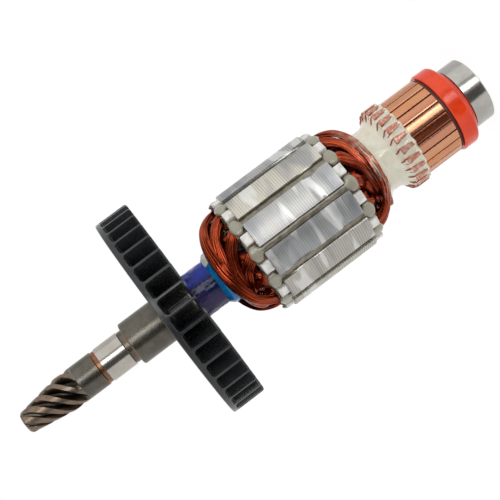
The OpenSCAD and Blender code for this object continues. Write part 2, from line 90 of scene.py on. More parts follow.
def add(
    tree: bpy.types.NodeTree,
    kind: str,
    values: Optional[dict[Union[int, str], Value]] = None,
    **settings: object,
) -> bpy.types.Node:
    """Adds one node with its settings, and sets or links its inputs.

    Args:
        tree: Tree that gets the node.
        kind: Blender's name for the node type.
        values: Input index or name to a constant, or to the output that feeds it.
        **settings: Attributes of the node, set before its inputs.

    Returns:
        The new node.
    """
    node = tree.nodes.new(kind)
    for key, setting in settings.items():
        setattr(node, key, setting)
    for key, value in (values or {}).items():
        if isinstance(value, Socket):
            tree.links.new(value, node.inputs[key])
        else:
            node.inputs[key].default_value = value
    return node


@dataclass(frozen=True)
class Nodes:
    """The common nodes of one tree under short names; each call returns its result's socket."""

    tree: bpy.types.NodeTree

    def calc(self, operation: str, *values: Value) -> Socket:
        """Adds a sum on numbers."""
        given = dict(enumerate(values))
        return add(self.tree, "ShaderNodeMath", given, operation=operation).outputs[0]

    def scaled(self, vector: Value, amount: Value) -> Socket:
        """Adds a vector times a number."""
        values = {0: vector, "Scale": amount}
        return add(self.tree, "ShaderNodeVectorMath", values, operation="SCALE").outputs[0]

    def remap(self, value: Value, low: Value, high: Value, start: float, end: float) -> Socket:
        """Adds a clamped move of a value from one range to another."""
        values = {0: value, 1: low, 2: high, 3: start, 4: end}
        return add(self.tree, "ShaderNodeMapRange", values).outputs[0]

    def mix(self, share: Value, first: Value, second: Value) -> Socket:
        """Adds a mix of two colours."""
        values = {0: share, 6: first, 7: second}
        return add(self.tree, "ShaderNodeMix", values, data_type="RGBA").outputs[2]

    def noise(self, place: Value, width: float, detail: float, **more: float) -> Socket:
        """Adds a noise with patches of a width in millimetres."""
        values = {"Vector": place, "Scale": 1000 / width, "Detail": detail, **more}
        return add(self.tree, "ShaderNodeTexNoise", values).outputs[0]

    def unrolled(self, height: Value, arc: Value, detail: float, **more: float) -> Socket:
        """Adds a noise over a surface that is unrolled to height and arc."""
        flat = add(self.tree, "ShaderNodeCombineXYZ", {0: height, 1: arc}).outputs[0]
        return self.noise(flat, 1000, detail, **more)

    def chance(self, number: Value) -> Socket:
        """Adds a fixed random value for each number."""
        kind = "ShaderNodeTexWhiteNoise"
        return add(self.tree, kind, {"W": number}, noise_dimensions="1D").outputs[0]

    def stored(self, name: str, kind: str) -> Socket:
        """Adds the reading of a named attribute in a Geometry Nodes tree."""
        node = "GeometryNodeInputNamedAttribute"
        return add(self.tree, node, {"Name": name}, data_type=kind).outputs[0]

    def tones(self, share: Value, colours: Sequence[str], step: float, **settings: str) -> Socket:
        """Adds a ramp through colours that lie a step apart.

        Args:
            share: Place on the ramp, from 0 to 1.
            colours: Hex colours in order.
            step: Distance from one colour to the next.
            **settings: Attributes of the ramp.

        Returns:
            The socket with the colour.
        """
        ramp = add(self.tree, "ShaderNodeValToRGB", {0: share})
        stops = ramp.color_ramp.elements
        for name, setting in settings.items():
            setattr(ramp.color_ramp, name, setting)
        for i, colour in enumerate(colours):
            stop = stops[i] if i < 2 else stops.new(i * step)
            stop.position, stop.color = i * step, linear(colour)
        return ramp.outputs[0]

    def polar(self, where: Socket) -> tuple[Socket, Socket, Socket]:
        """Adds the turn to cylinder coordinates about the shaft.

        Args:
            where: Place in the frame, in metres.

        Returns:
            Sockets with the angle in radians, the radius and the height in metres.
        """
        axes = add(self.tree, "ShaderNodeSeparateXYZ", {0: where}).outputs
        flat = add(self.tree, "ShaderNodeCombineXYZ", {0: axes[0], 1: axes[1]}).outputs[0]
        radius = add(self.tree, "ShaderNodeVectorMath", {0: flat}, operation="LENGTH")
        return self.calc("ARCTAN2", axes[1], axes[0]), radius.outputs["Value"], axes[2]

    def plainly_seen(self) -> Socket:
        """Adds a share that is 1 for what the camera, glass or gloss sees.

        Returns:
            The socket with the share.
        """
        ray = add(self.tree, "ShaderNodeLightPath").outputs
        seen = self.calc("MAXIMUM", ray["Is Camera Ray"], ray["Is Transmission Ray"])
        return self.calc("MAXIMUM", seen, ray["Is Glossy Ray"])


def blank(name: str) -> tuple[bpy.types.Material, bpy.types.NodeTree]:
    """Makes a material with an empty node tree.

    Args:
        name: Name of the material.

    Returns:
        The material and its tree.
    """
    material = bpy.data.materials.new(name)
    material.use_nodes = True
    material.node_tree.nodes.clear()
    return material, material.node_tree


def geometry_tree(
    name: str, inputs: dict[str, str]
) -> tuple[bpy.types.NodeTree, bpy.types.NodeOutputs]:
    """Makes a Geometry Nodes tree with named inputs and a Finish, and one geometry output.

    Args:
        name: Name of the tree.
        inputs: Name of each input to its kind of socket.

    Returns:
        The tree and the sockets of its inputs.
    """
    tree = bpy.data.node_groups.new(name, "GeometryNodeTree")
    for label, kind in {**inputs, "Finish": "Material"}.items():
        tree.interface.new_socket(label, in_out="INPUT", socket_type=f"NodeSocket{kind}")
    tree.interface.new_socket("Made", in_out="OUTPUT", socket_type="NodeSocketGeometry")
    return tree, add(tree, "NodeGroupInput").outputs


def close_tree(tree: bpy.types.NodeTree, made: Socket, finish: Socket) -> None:
    """Ends a Geometry Nodes tree: instances made real and dressed.

    Args:
        tree: Tree to end.
        made: Its geometry.
        finish: Its Finish input.
    """
    real = add(tree, "GeometryNodeRealizeInstances", {0: made}).outputs[0]
    dressed = add(tree, "GeometryNodeSetMaterial", {"Geometry": real, "Material": finish})
    add(tree, "NodeGroupOutput", {0: dressed.outputs[0]})


def grown(
    piece: bpy.types.Object, tree: bpy.types.NodeTree, given: dict[str, object], sharp: float
) -> bpy.types.Object:
    """Runs a Geometry Nodes tree on a piece and writes the result into its mesh.

    Args:
        piece: Piece to change.
        tree: Tree to run.
        given: Name of each input to its value.
        sharp: Angle in degrees from which an edge is shaded sharp.

    Returns:
        The same piece.
    """
    growth = piece.modifiers.new("growth", "NODES")
    growth.node_group = tree
    for item in tree.interface.items_tree:
        if item.in_out == "INPUT" and item.name in given:
            growth[item.identifier] = given[item.name]
    return applied(piece, sharp)


# ---------------------------------------------------------------- mesh helpers


def mix_step(x: float) -> float:
    """Returns a smooth 0 to 1 step of x, held outside that range."""
    c = min(1.0, max(0.0, x))
    return c * c * (3 - 2 * c)


def round_place(r: float, degrees: float, z: float) -> Place:
    """Returns the place at a radius, an angle and a height."""
    return r * math.cos(math.radians(degrees)), r * math.sin(math.radians(degrees)), z


@lru_cache(maxsize=None)
def span(node: str) -> tuple[float, float, float]:
    """Returns a CAD node's lowest and highest height and its reach in x, in millimetres."""
    low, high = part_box(node)
    return low.z / MM, high.z / MM, high.x / MM


def linked(name: str, data: bpy.types.ID) -> bpy.types.Object:
    """Makes an object for a mesh, camera or lamp and adds it to the scene.

    Args:
        name: Name of the object.
        data: What it shows.

    Returns:
        The object, at the origin.
    """
    made = bpy.data.objects.new(name, data)
    bpy.context.scene.collection.objects.link(made)
    return made


def raw_mesh(
    name: str, points: Iterable[Sequence[float]], faces: Sequence[Face], edges: Sequence[Face] = ()
) -> bpy.types.Mesh:
    """Makes a mesh from points in millimetres.

    Args:
        name: Name of the mesh.
        points: Vertices.
        faces: Vertex indices of each face.
        edges: Vertex indices of each edge that has no face.

    Returns:
        The mesh.
    """
    mesh = bpy.data.meshes.new(name)
    mesh.from_pydata([[c * MM for c in p] for p in points], edges, faces)
    return mesh


def shade(piece: bpy.types.Object, sharp: float) -> bpy.types.Object:
    """Shades a piece smooth with the edges above an angle sharp.

    Args:
        piece: Piece to shade.
        sharp: The angle in degrees.

    Returns:
        The same piece.
    """
    piece.data.shade_smooth()
    piece.data.set_sharp_from_angle(angle=math.radians(sharp))
    return piece


def mesh_piece(
    name: str, points: Sequence[Sequence[float]], faces: Sequence[Face], sharp: float = 32.0
) -> bpy.types.Object:
    """Makes a smooth-shaded piece with its normals outward.

    Args:
        name: Name of the piece.
        points: Vertices in millimetres.
        faces: Vertex indices of each face.
        sharp: Angle in degrees from which an edge is shaded sharp.

    Returns:
        The piece.
    """
    mesh = raw_mesh(name, points, faces)
    built = bmesh.new()
    built.from_mesh(mesh)
    bmesh.ops.remove_doubles(built, verts=built.verts, dist=1e-6)
    bmesh.ops.recalc_face_normals(built, faces=built.faces)
    built.to_mesh(mesh)
    built.free()
    return shade(linked(name, mesh), sharp)


def skin(count: int, rings: int) -> list[Face]:
    """Joins rings of points to a tube.

    Args:
        count: Points in each ring.
        rings: Number of rings, whose points follow each other.

    Returns:
        The faces between each ring and the next.
    """
    faces: list[Face] = []
    for ring in range(rings - 1):
        here, there = ring * count, (ring + 1) * count
        for i in range(count):
            j = (i + 1) % count
            faces.append((here + i, here + j, there + j, there + i))
    return faces


def capped(count: int, rings: int) -> list[Face]:
    """Returns the faces of a tube of rings, closed at both ends."""
    last = (rings - 1) * count
    return [tuple(range(count)), tuple(range(last, last + count)), *skin(count, rings)]


def applied(piece: bpy.types.Object, sharp: float) -> bpy.types.Object:
    """Writes the modifiers of a piece into its mesh and shades it again.

    Args:
        piece: Piece with modifiers.
        sharp: Angle in degrees from which an edge is shaded sharp.

    Returns:
        The same piece.
    """
    bpy.context.view_layer.update()
    graph = bpy.context.evaluated_depsgraph_get()
    result = bpy.data.meshes.new_from_object(piece.evaluated_get(graph))
    piece.modifiers.clear()
    old = piece.data
    piece.data = result
    bpy.data.meshes.remove(old)
    return shade(piece, sharp)


def bevelled(
    piece: bpy.types.Object, width: float, segments: int = 2, sharp: float = 32.0
) -> bpy.types.Object:
    """Rounds the sharp edges of a piece, with the result written into its mesh.

    Args:
        piece: Piece to round.
        width: Width of the bevel in millimetres.
        segments: Segments of the bevel.
        sharp: Angle in degrees from which an edge is rounded.

    Returns:
        The same piece.
    """
    rounding = piece.modifiers.new("rounding", "BEVEL")
    rounding.width = width * MM
    rounding.segments = segments
    rounding.limit_method = "ANGLE"
    rounding.angle_limit = math.radians(sharp)
    return applied(piece, sharp + 8)


def revolved(
    name: str,
    profile: Sequence[Point],
    steps: int = 160,
    offset: Optional[Callable[[float, float, float], float]] = None,
    sharp: float = 32.0,
) -> bpy.types.Object:
    """Turns a closed profile about the Z axis.

    Args:
        name: Name of the piece.
        profile: Radius and height of each corner, in order.
        steps: Number of sections round the axis.
        offset: Extra radius at (radius, height, angle), or None.
        sharp: Angle in degrees from which an edge is shaded sharp.

    Returns:
        The piece.
    """
    points: list[Place] = []
    for step in range(steps):
        turn = 2 * math.pi * step / steps
        for r, z in profile:
            reach = r + (offset(r, z, turn) if offset and r > 0.01 else 0.0)
            points.append((reach * math.cos(turn), reach * math.sin(turn), z))
    count = len(profile)
    faces: list[Face] = []
    for step in range(steps):
        here, there = step * count, (step + 1) % steps * count
        for i in range(count):
            j = (i + 1) % count
            if max(profile[i][0], profile[j][0]) >= 0.01:
                faces.append((here + i, there + i, there + j, here + j))
    return mesh_piece(name, points, faces, sharp)


def subdivided(profile: Sequence[Point], longest: float) -> list[Point]:
    """Cuts the sides of a closed profile.

    Args:
        profile: Radius and height of each corner, in order.
        longest: Longest side allowed.

    Returns:
        The profile with the new corners.
    """
    result: list[Point] = []
    for i, (r, z) in enumerate(profile):
        r2, z2 = profile[(i + 1) % len(profile)]
        cuts = max(1, math.ceil(math.hypot(r2 - r, z2 - z) / longest))
        result += [(r + (r2 - r) * k / cuts, z + (z2 - z) * k / cuts) for k in range(cuts)]
    return result


def merged_copy(name: str, nodes: Iterable[str], sharp: float = 28.0) -> bpy.types.Object:
    """Copies CAD nodes into one piece of joined, smooth-shaded faces.

    Args:
        name: Name of the piece.
        nodes: Names of the CAD nodes.
        sharp: Angle in degrees from which an edge is shaded sharp.

    Returns:
        The piece.
    """
    built = bmesh.new()
    for node in nodes:
        built.from_mesh(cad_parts[node].data)
    bmesh.ops.remove_doubles(built, verts=built.verts, dist=2e-6)
    bmesh.ops.dissolve_degenerate(built, edges=built.edges, dist=1e-6)
    bmesh.ops.dissolve_limit(
        built, angle_limit=math.radians(0.6), verts=built.verts, edges=built.edges
    )
    mesh = bpy.data.meshes.new(name)
    built.to_mesh(mesh)
    built.free()
    return shade(linked(name, mesh), sharp)


def round_tree() -> bpy.types.NodeTree:
    """Makes the node tree that sets copies of a piece round the Z axis.

    Returns:
        The tree.
    """
    tree, given = geometry_tree(
        "round_the_shaft", {"Piece": "Geometry", "Count": "Int", "First Angle": "Float"}
    )
    make = Nodes(tree)
    points = add(tree, "GeometryNodePoints", {"Count": given["Count"]}).outputs[0]
    number = add(tree, "GeometryNodeInputIndex").outputs[0]
    step = make.calc("DIVIDE", 2 * math.pi, given["Count"])
    turn = make.calc("MULTIPLY_ADD", number, step, given["First Angle"])
    spin = add(tree, "ShaderNodeCombineXYZ", {2: turn}).outputs[0]
    values = {"Points": points, "Instance": given["Piece"], "Rotation": spin}
    copies = add(tree, "GeometryNodeInstanceOnPoints", values).outputs[0]
    close_tree(tree, copies, given["Finish"])
    return tree


def repeated_round(
    piece: bpy.types.Object, count: int, first: float, material: bpy.types.Material
) -> bpy.types.Object:
    """Repeats a piece round the Z axis.

    Args:
        piece: Piece on the +X side.
        count: Number of copies.
        first: Angle of the first copy in degrees.
        material: Finish of the copies.

    Returns:
        The same piece, with all its copies.
    """
    tree = bpy.data.node_groups.get("round_the_shaft") or round_tree()
    given = {"Count": count, "First Angle": math.radians(first), "Finish": material}
    return grown(piece, tree, given, 40)


def bent_wire(name: str, path: Sequence[Place], radius: float, sides: int = 8) -> bpy.types.Object:
    """Sweeps a round wire along a path.

    Args:
        name: Name of the piece.
        path: Points of the wire's middle, in millimetres.
        radius: Radius of the wire in millimetres.
        sides: Number of faces round the wire.

    Returns:
        The wire, closed at both ends.
    """
    middle = [Vector(p) for p in path]
    points: list[Vector] = []
    for i, here in enumerate(middle):
        along = (middle[min(i + 1, len(middle) - 1)] - middle[max(i - 1, 0)]).normalized()
        first = along.cross(Vector((0.3, 1.0, 0.2))).normalized()
        second = along.cross(first)
        for j in range(sides):
            turn = 2 * math.pi * j / sides
            points.append(here + (first * math.cos(turn) + second * math.sin(turn)) * radius)
    return mesh_piece(name, points, capped(sides, len(middle)), 60)


def store(mesh: bpy.types.Mesh, name: str, values: Sequence[Union[float, Vector]]) -> None:
    """Stores a number or a vector at each point of a mesh.

    Args:
        mesh: Mesh that gets the attribute.
        name: Name of the attribute.
        values: One value for each point.
    """
    if isinstance(values[0], Vector):
        flat = [c for vector in values for c in vector]
        mesh.attributes.new(name, "FLOAT_VECTOR", "POINT").data.foreach_set("vector", flat)
    else:
        mesh.attributes.new(name, "FLOAT", "POINT").data.foreach_set("value", values)


def place(
    piece: bpy.types.Object,
    material: bpy.types.Material,
    slot: str,
    *replaced: str,
    body: Body = Body.ROTOR,
) -> None:
    """Dresses a finished piece, ties it to its body and hides the CAD nodes that it stands for.

    Args:
        piece: Finished piece, at the origin.
        material: Its finish.
        slot: Name of a material slot; not used.
        *replaced: CAD nodes that it stands for.
        body: Body that it rides on.
    """
    piece.data.materials.clear()
    piece.data.materials.append(material)
    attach(piece, body.value)
    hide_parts(*replaced)
    LOG.info("%s: %d faces on %s", piece.name, len(piece.data.polygons), body.value)


def dress_node(node: str, material: bpy.types.Material) -> None:
    """Gives a CAD node that stays in view its finish."""
    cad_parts[node].data.materials.clear()
    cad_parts[node].data.materials.append(material)


# ---------------------------------------------------------------- finishes


@dataclass
class Layers:
    """Sockets that a finish passes from one of its patterns to the next."""

    make: Nodes
    place: Socket
    colour: Socket
    height: Socket
    metallic: Value

    def tint(self, share: Value, colour: Union[str, Socket]) -> None:
        """Lays a hex colour or a socket's colour over the present one by a share."""
        over = linear(colour) if isinstance(colour, str) else colour
        self.colour = self.make.mix(share, self.colour, over)

    def emboss(self, pattern: Socket, depth: float) -> None:
        """Raises the surface by a pattern times a depth in millimetres."""
        self.height = self.make.calc("MULTIPLY_ADD", pattern, depth * MM, self.height)


@dataclass(frozen=True)
class Finish:
    """A finish with patches of a second tone, a grain and an uneven gloss.

    Sizes are in millimetres: patch and grain are the widths of one patch and of one grain.
    """

    name: str
    colour: str
    patch_colour: str
    patch: float = 6.0
    patch_low: float = 0.42
    patch_high: float = 0.62
    grain: float = 0.5
    grain_depth: float = 0.02
    metallic: float = 0.0
    roughness: float = 0.5
    roughness_swing: float = 0.1
    constants: tuple[tuple[str, float], ...] = ()

    def extra(self, layers: Layers) -> None:
        """Adds the patterns of one special finish to its layers; none here."""

    def build(self) -> bpy.types.Material:
        """Makes the material of this finish.

        Returns:
            The material.
        """
        material, tree = blank(self.name)
        make = Nodes(tree)
        where = add(tree, "ShaderNodeTexCoord").outputs["Object"]
        patches = make.noise(where, self.patch, 4.0, Roughness=0.6)
        share = make.remap(patches, self.patch_low, self.patch_high, 0.0, 1.0)
        tone = make.mix(share, linear(self.colour), linear(self.patch_colour))
        grain = make.noise(where, self.grain, 3.0)
        smoothest = max(0.02, self.roughness - self.roughness_swing)
        roughest = min(1.0, self.roughness + self.roughness_swing)
        gloss = make.remap(grain, 0.3, 0.7, smoothest, roughest)
        depth = make.calc("MULTIPLY", grain, self.grain_depth * MM)
        layers = Layers(make, where, tone, depth, self.metallic)
        self.extra(layers)
        bump = add(
            tree, "ShaderNodeBump", {"Height": layers.height, "Strength": 1.0, "Distance": 1.0}
        )
        values = {
            "Base Color": layers.colour,
            "Roughness": gloss,
            "Normal": bump.outputs[0],
            "Metallic": layers.metallic,
            **dict(self.constants),
        }
        shader = add(tree, "ShaderNodeBsdfPrincipled", values).outputs[0]
        add(tree, "ShaderNodeOutputMaterial", {"Surface": shader})
        return material


@dataclass(frozen=True)
class TurnedMetal(Finish):
    """Turned or ground metal, with fine lines round the axis and stained bands along it."""

    line: float = 0.25
    line_depth: float = 0.0025
    band_colour: str = "#8a6a4a"
    bands: tuple[tuple[float, float, float], ...] = ()

    def extra(self, layers: Layers) -> None:
        """Adds the turning lines and the bands, each from, to and strength.

        Args:
            layers: Sockets to change.
        """
        make = layers.make
        turn, _, height = make.polar(layers.place)
        rise = make.calc("MULTIPLY", height, 1000 / self.line)
        lines = make.unrolled(rise, make.calc("MULTIPLY", turn, 0.35), 2.0)
        layers.emboss(lines, self.line_depth)
        ragged = make.noise(layers.place, 1.1, 3.0)
        for low, high, strength in self.bands:
            inside = make.calc("COMPARE", height, (low + high) / 2 * MM, (high - low) / 2 * MM)
            amount = make.remap(ragged, 0.35, 0.62, 0.0, strength)
            share = make.calc("MULTIPLY", inside, amount)
            layers.tint(share, self.band_colour)


@dataclass(frozen=True)
class GearSteel(Finish):
    """Hobbed gear steel: painted shade in the tooth gaps and the centre hole, and rust-tinted along
    the crests.
    """

    gap_shade_colour: str = "#39352f"
    crest_colour: str = "#a3623a"

    def extra(self, layers: Layers) -> None:
        """Adds the painted shade in the gaps and the rust-tinted crests from the attributes that the
        gear carries.

        Args:
            layers: Sockets to change.
        """
        make = layers.make
        depth, edge = (
            add(make.tree, "ShaderNodeAttribute", attribute_name=name).outputs["Fac"]
            for name in ("painted_gap_shade", "crest_edge")
        )
        # Painted shade: darker the deeper a place lies in a tooth gap or the centre hole.
        layers.tint(depth, self.gap_shade_colour)
        amount = make.remap(make.noise(layers.place, 0.9, 3.0), 0.35, 0.6, 0.0, 0.85)
        share = make.calc("MULTIPLY", edge, amount)
        layers.tint(share, self.crest_colour)


@dataclass(frozen=True)
class LaminatedSteel(Finish):
    """Stacked electrical steel: sheet lines round the core and a tone of its own per tooth.

    The sheets are drawn 0.8 mm thick, coarser than the real ones, so that they show.
    """

    sheet: float = 0.8
    sheet_depth: float = 0.008
    scratch_depth: float = 0.005
    joint_colour: str = "#7c7a76"
    belt_highlight_colour: str = "#f3f3f1"
    dark_belt_colour: str = "#8b8e95"
    tones: tuple[str, ...] = tuple(
        "#c6c3bb #aeb0b2 #d2cdc0 #b9b8b5 #c9c7c1 #a9abad "
        "#d0ccc0 #c3beb6 #b0b2b4 #b6b6b4 #dcd7c9 #c0c0bf".split()
    )

    def extra(self, layers: Layers) -> None:
        """Adds the tooth tones, the sheet lines, pale belts of painted highlight with darker belts,
        and the scratches.

        Args:
            layers: Sockets to change.
        """
        make = layers.make
        turn, _, height = make.polar(layers.place)
        count = len(self.tones)
        number = make.calc("FLOOR", make.calc("MULTIPLY", turn, count / (2 * math.pi)))
        in_order = make.calc("FLOORED_MODULO", number, float(count))
        share = make.calc("MULTIPLY_ADD", in_order, 1 / count, 0.5 / count)
        tone = make.tones(share, self.tones, 1 / count, interpolation="CONSTANT")
        layers.tint(0.85, tone)
        sheets = make.calc("MULTIPLY", height, 1000 / self.sheet)
        joint = make.remap(make.calc("PINGPONG", sheets, 0.5), 0.0, 0.26, 1.0, 0.0)
        uneven = make.remap(make.chance(make.calc("FLOOR", sheets)), 0.0, 1.0, 0.2, 0.75)
        faint = make.calc("MULTIPLY", joint, uneven)
        layers.tint(faint, self.joint_colour)
        own = make.calc("MULTIPLY", make.chance(number), 40.0)
        arc = make.calc("MULTIPLY_ADD", turn, 0.9, own)
        belts = make.unrolled(make.calc("MULTIPLY", height, 1000 / 5.5), arc, 1.0)
        # Painted highlight: pale belts across the teeth, with darker belts beside them.
        for low, high, tint in (
            (0.56, 0.61, self.belt_highlight_colour),
            (0.44, 0.33, self.dark_belt_colour),
        ):
            amount = make.remap(belts, low, high, 0.0, 0.6)
            layers.tint(amount, tint)
        rise, arc = make.calc("MULTIPLY", height, 1000 / 0.35), make.calc("MULTIPLY", turn, 2.6)
        scratches = make.unrolled(rise, arc, 4.0, Distortion=0.6)
        layers.emboss(joint, -self.sheet_depth)
        layers.emboss(scratches, self.scratch_depth)


@dataclass(frozen=True)
class SegmentCopper(Finish):
    """Hard copper bars, skimmed by a lathe, with painted reflection: a random tone per bar and one
    dark bar.
    """

    count: int = 24
    # The per-bar tones and the one dark bar are painted reflection.
    tones: tuple[str, ...] = ("#dca27a", "#e4ab86", "#cf8c64", "#d99a84", "#dc9c6a", "#bb7456")
    dark_reflection_bar: int = 93
    dark_reflection_colour: str = "#9c4a34"
    hook_colour: str = "#bd745c"
    film_colour: str = "#d3c3b6"
    hook_metallic: float = 0.25
    line_depth: float = 0.003

    def extra(self, layers: Layers) -> None:
        """Adds the bar tones and the dark bar, both painted reflection, the duller filmed hooks and
        the turning lines.

        Args:
            layers: Sockets to change.
        """
        make = layers.make
        turn, radius, height = make.polar(layers.place)
        bar = make.calc("MULTIPLY_ADD", turn, self.count / (2 * math.pi), 100.0)
        number = make.calc("FLOOR", bar)
        # Painted reflection: a random tone per bar stands in for how each bar reflects.
        tone = make.tones(make.chance(number), self.tones, 1 / (len(self.tones) - 1))
        layers.tint(0.7, tone)
        # Painted dark reflection on one chosen bar.
        chosen = make.calc("COMPARE", number, float(self.dark_reflection_bar), 0.5)
        painted_dark_bar = make.calc("MULTIPLY", chosen, 0.85)
        layers.tint(painted_dark_bar, self.dark_reflection_colour)
        hook = make.remap(radius, 14.1 * MM, 14.5 * MM, 0.0, 1.0)
        film = make.remap(make.noise(layers.place, 0.9, 3.0), 0.45, 0.68, 0.0, 0.85)
        coated = make.mix(film, linear(self.hook_colour), linear(self.film_colour))
        layers.tint(hook, coated)
        layers.metallic = make.remap(hook, 0.0, 1.0, self.metallic, self.hook_metallic)
        rise, arc = make.calc("MULTIPLY", height, 1000 / 0.3), make.calc("MULTIPLY", turn, 3.0)
        lines = make.unrolled(rise, arc, 2.0)
        layers.emboss(lines, self.line_depth)


@dataclass(frozen=True)
class EnamelledWire(Finish):
    """Enamelled copper wire with baked varnish: tone by strand, its dark end partly painted shade
    between strands, resin film near the hooks.
    """

    dark_strand_shade_colour: str = "#5f190a"
    bright_colour: str = "#c24e1e"
    film_colour: str = "#c6bcac"
    film_low: float = 39.0
    film_high: float = 47.0

    def extra(self, layers: Layers) -> None:
        """Adds the strand tones, partly painted shade between strands, and the film, which fades
        away from the resin neck.

        Args:
            layers: Sockets to change.
        """
        make = layers.make
        tone = add(make.tree, "ShaderNodeAttribute", attribute_name="tone").outputs["Fac"]
        # Strand tones at random; the dark ones also stand in as painted shade between strands.
        strand = make.mix(tone, linear(self.dark_strand_shade_colour), linear(self.bright_colour))
        layers.tint(0.7, strand)
        _, _, height = make.polar(layers.place)
        fade = make.remap(height, self.film_low * MM, self.film_high * MM, 0.9, 0.0)
        amount = make.remap(make.noise(layers.place, 2.6, 4.0), 0.4, 0.6, 0.0, 1.0)
        share = make.calc("MULTIPLY", fade, amount)
        layers.tint(share, self.film_colour)


@dataclass(frozen=True)
class VarnishedWedge(Finish):
    """Slot wedge under varnish: paler as painted backlight where its ends stand clear of the slot.
    """

    backlit_end_colour: str = "#a09d8c"
    low: float = 55.2
    high: float = 86.7

    def extra(self, layers: Layers) -> None:
        """Adds the paler ends, a painted backlight.

        Args:
            layers: Sockets to change.
        """
        make = layers.make
        _, _, height = make.polar(layers.place)
        middle, half = (self.low + self.high) / 2 * MM, (self.high - self.low) / 2 * MM
        # Painted backlight: the ends clear of the slot are tinted paler.
        clear = make.remap(make.calc("COMPARE", height, middle, half), 0.0, 1.0, 0.75, 0.0)
        layers.tint(clear, self.backlit_end_colour)


@dataclass(frozen=True)
class RunEpoxy(Finish):
    """Cast epoxy with a cream run of filler on one side."""

    run_colour: str = "#dfe0d2"
    run_turn: float = -30.0
    run_width: float = 17.0
    cloud_share: float = 0.7

    def extra(self, layers: Layers) -> None:
        """Adds the run with its ragged edge.

        Args:
            layers: Sockets to change.
        """
        make = layers.make
        turn, _, _ = make.polar(layers.place)
        gap = make.calc("ABSOLUTE", make.calc("SUBTRACT", turn, math.radians(self.run_turn)))
        cloud = make.noise(layers.place, 2.2, 4.0)
        ragged = make.calc("MULTIPLY_ADD", cloud, self.cloud_share, gap)
        edge = math.radians(self.run_width) + self.cloud_share / 2
        run = make.remap(ragged, edge - 0.05, edge + 0.05, 1.0, 0.0)
        layers.tint(run, self.run_colour)


@dataclass(frozen=True)
class SleeveFilm(Finish):
    """Blue film: painted navy shade and painted violet sheen on one side, browned by varnish where
    the coils cover it.
    """

    navy_shade_colour: str = "#10143a"
    violet_sheen_colour: str = "#3a2a5c"
    shaded_side: float = 238.0
    browned_colour: str = "#2a120c"
    browned_from: float = 97.6

    def extra(self, layers: Layers) -> None:
        """Adds the painted shade and sheen on one side and the browned length.

        Args:
            layers: Sockets to change.
        """
        make = layers.make
        turn, _, height = make.polar(layers.place)
        away = make.calc("ADD", turn, math.radians(360 - self.shaded_side))
        facing = make.calc("COSINE", away)
        cloud = make.noise(layers.place, 3.5, 3.0)
        ragged = make.calc("MULTIPLY_ADD", cloud, 0.9, facing)
        # Painted navy shade and painted violet sheen on the side towards the view's lower right.
        for start, end, most, colour in (
            (0.85, 1.1, 0.9, self.navy_shade_colour),
            (1.25, 1.5, 0.85, self.violet_sheen_colour),
        ):
            share = make.remap(ragged, start, end, 0.0, most)
            layers.tint(share, colour)
        low, high = self.browned_from * MM, (self.browned_from + 0.8) * MM
        covered = make.remap(height, low, high, 1.0, 0.0)
        layers.tint(covered, self.browned_colour)


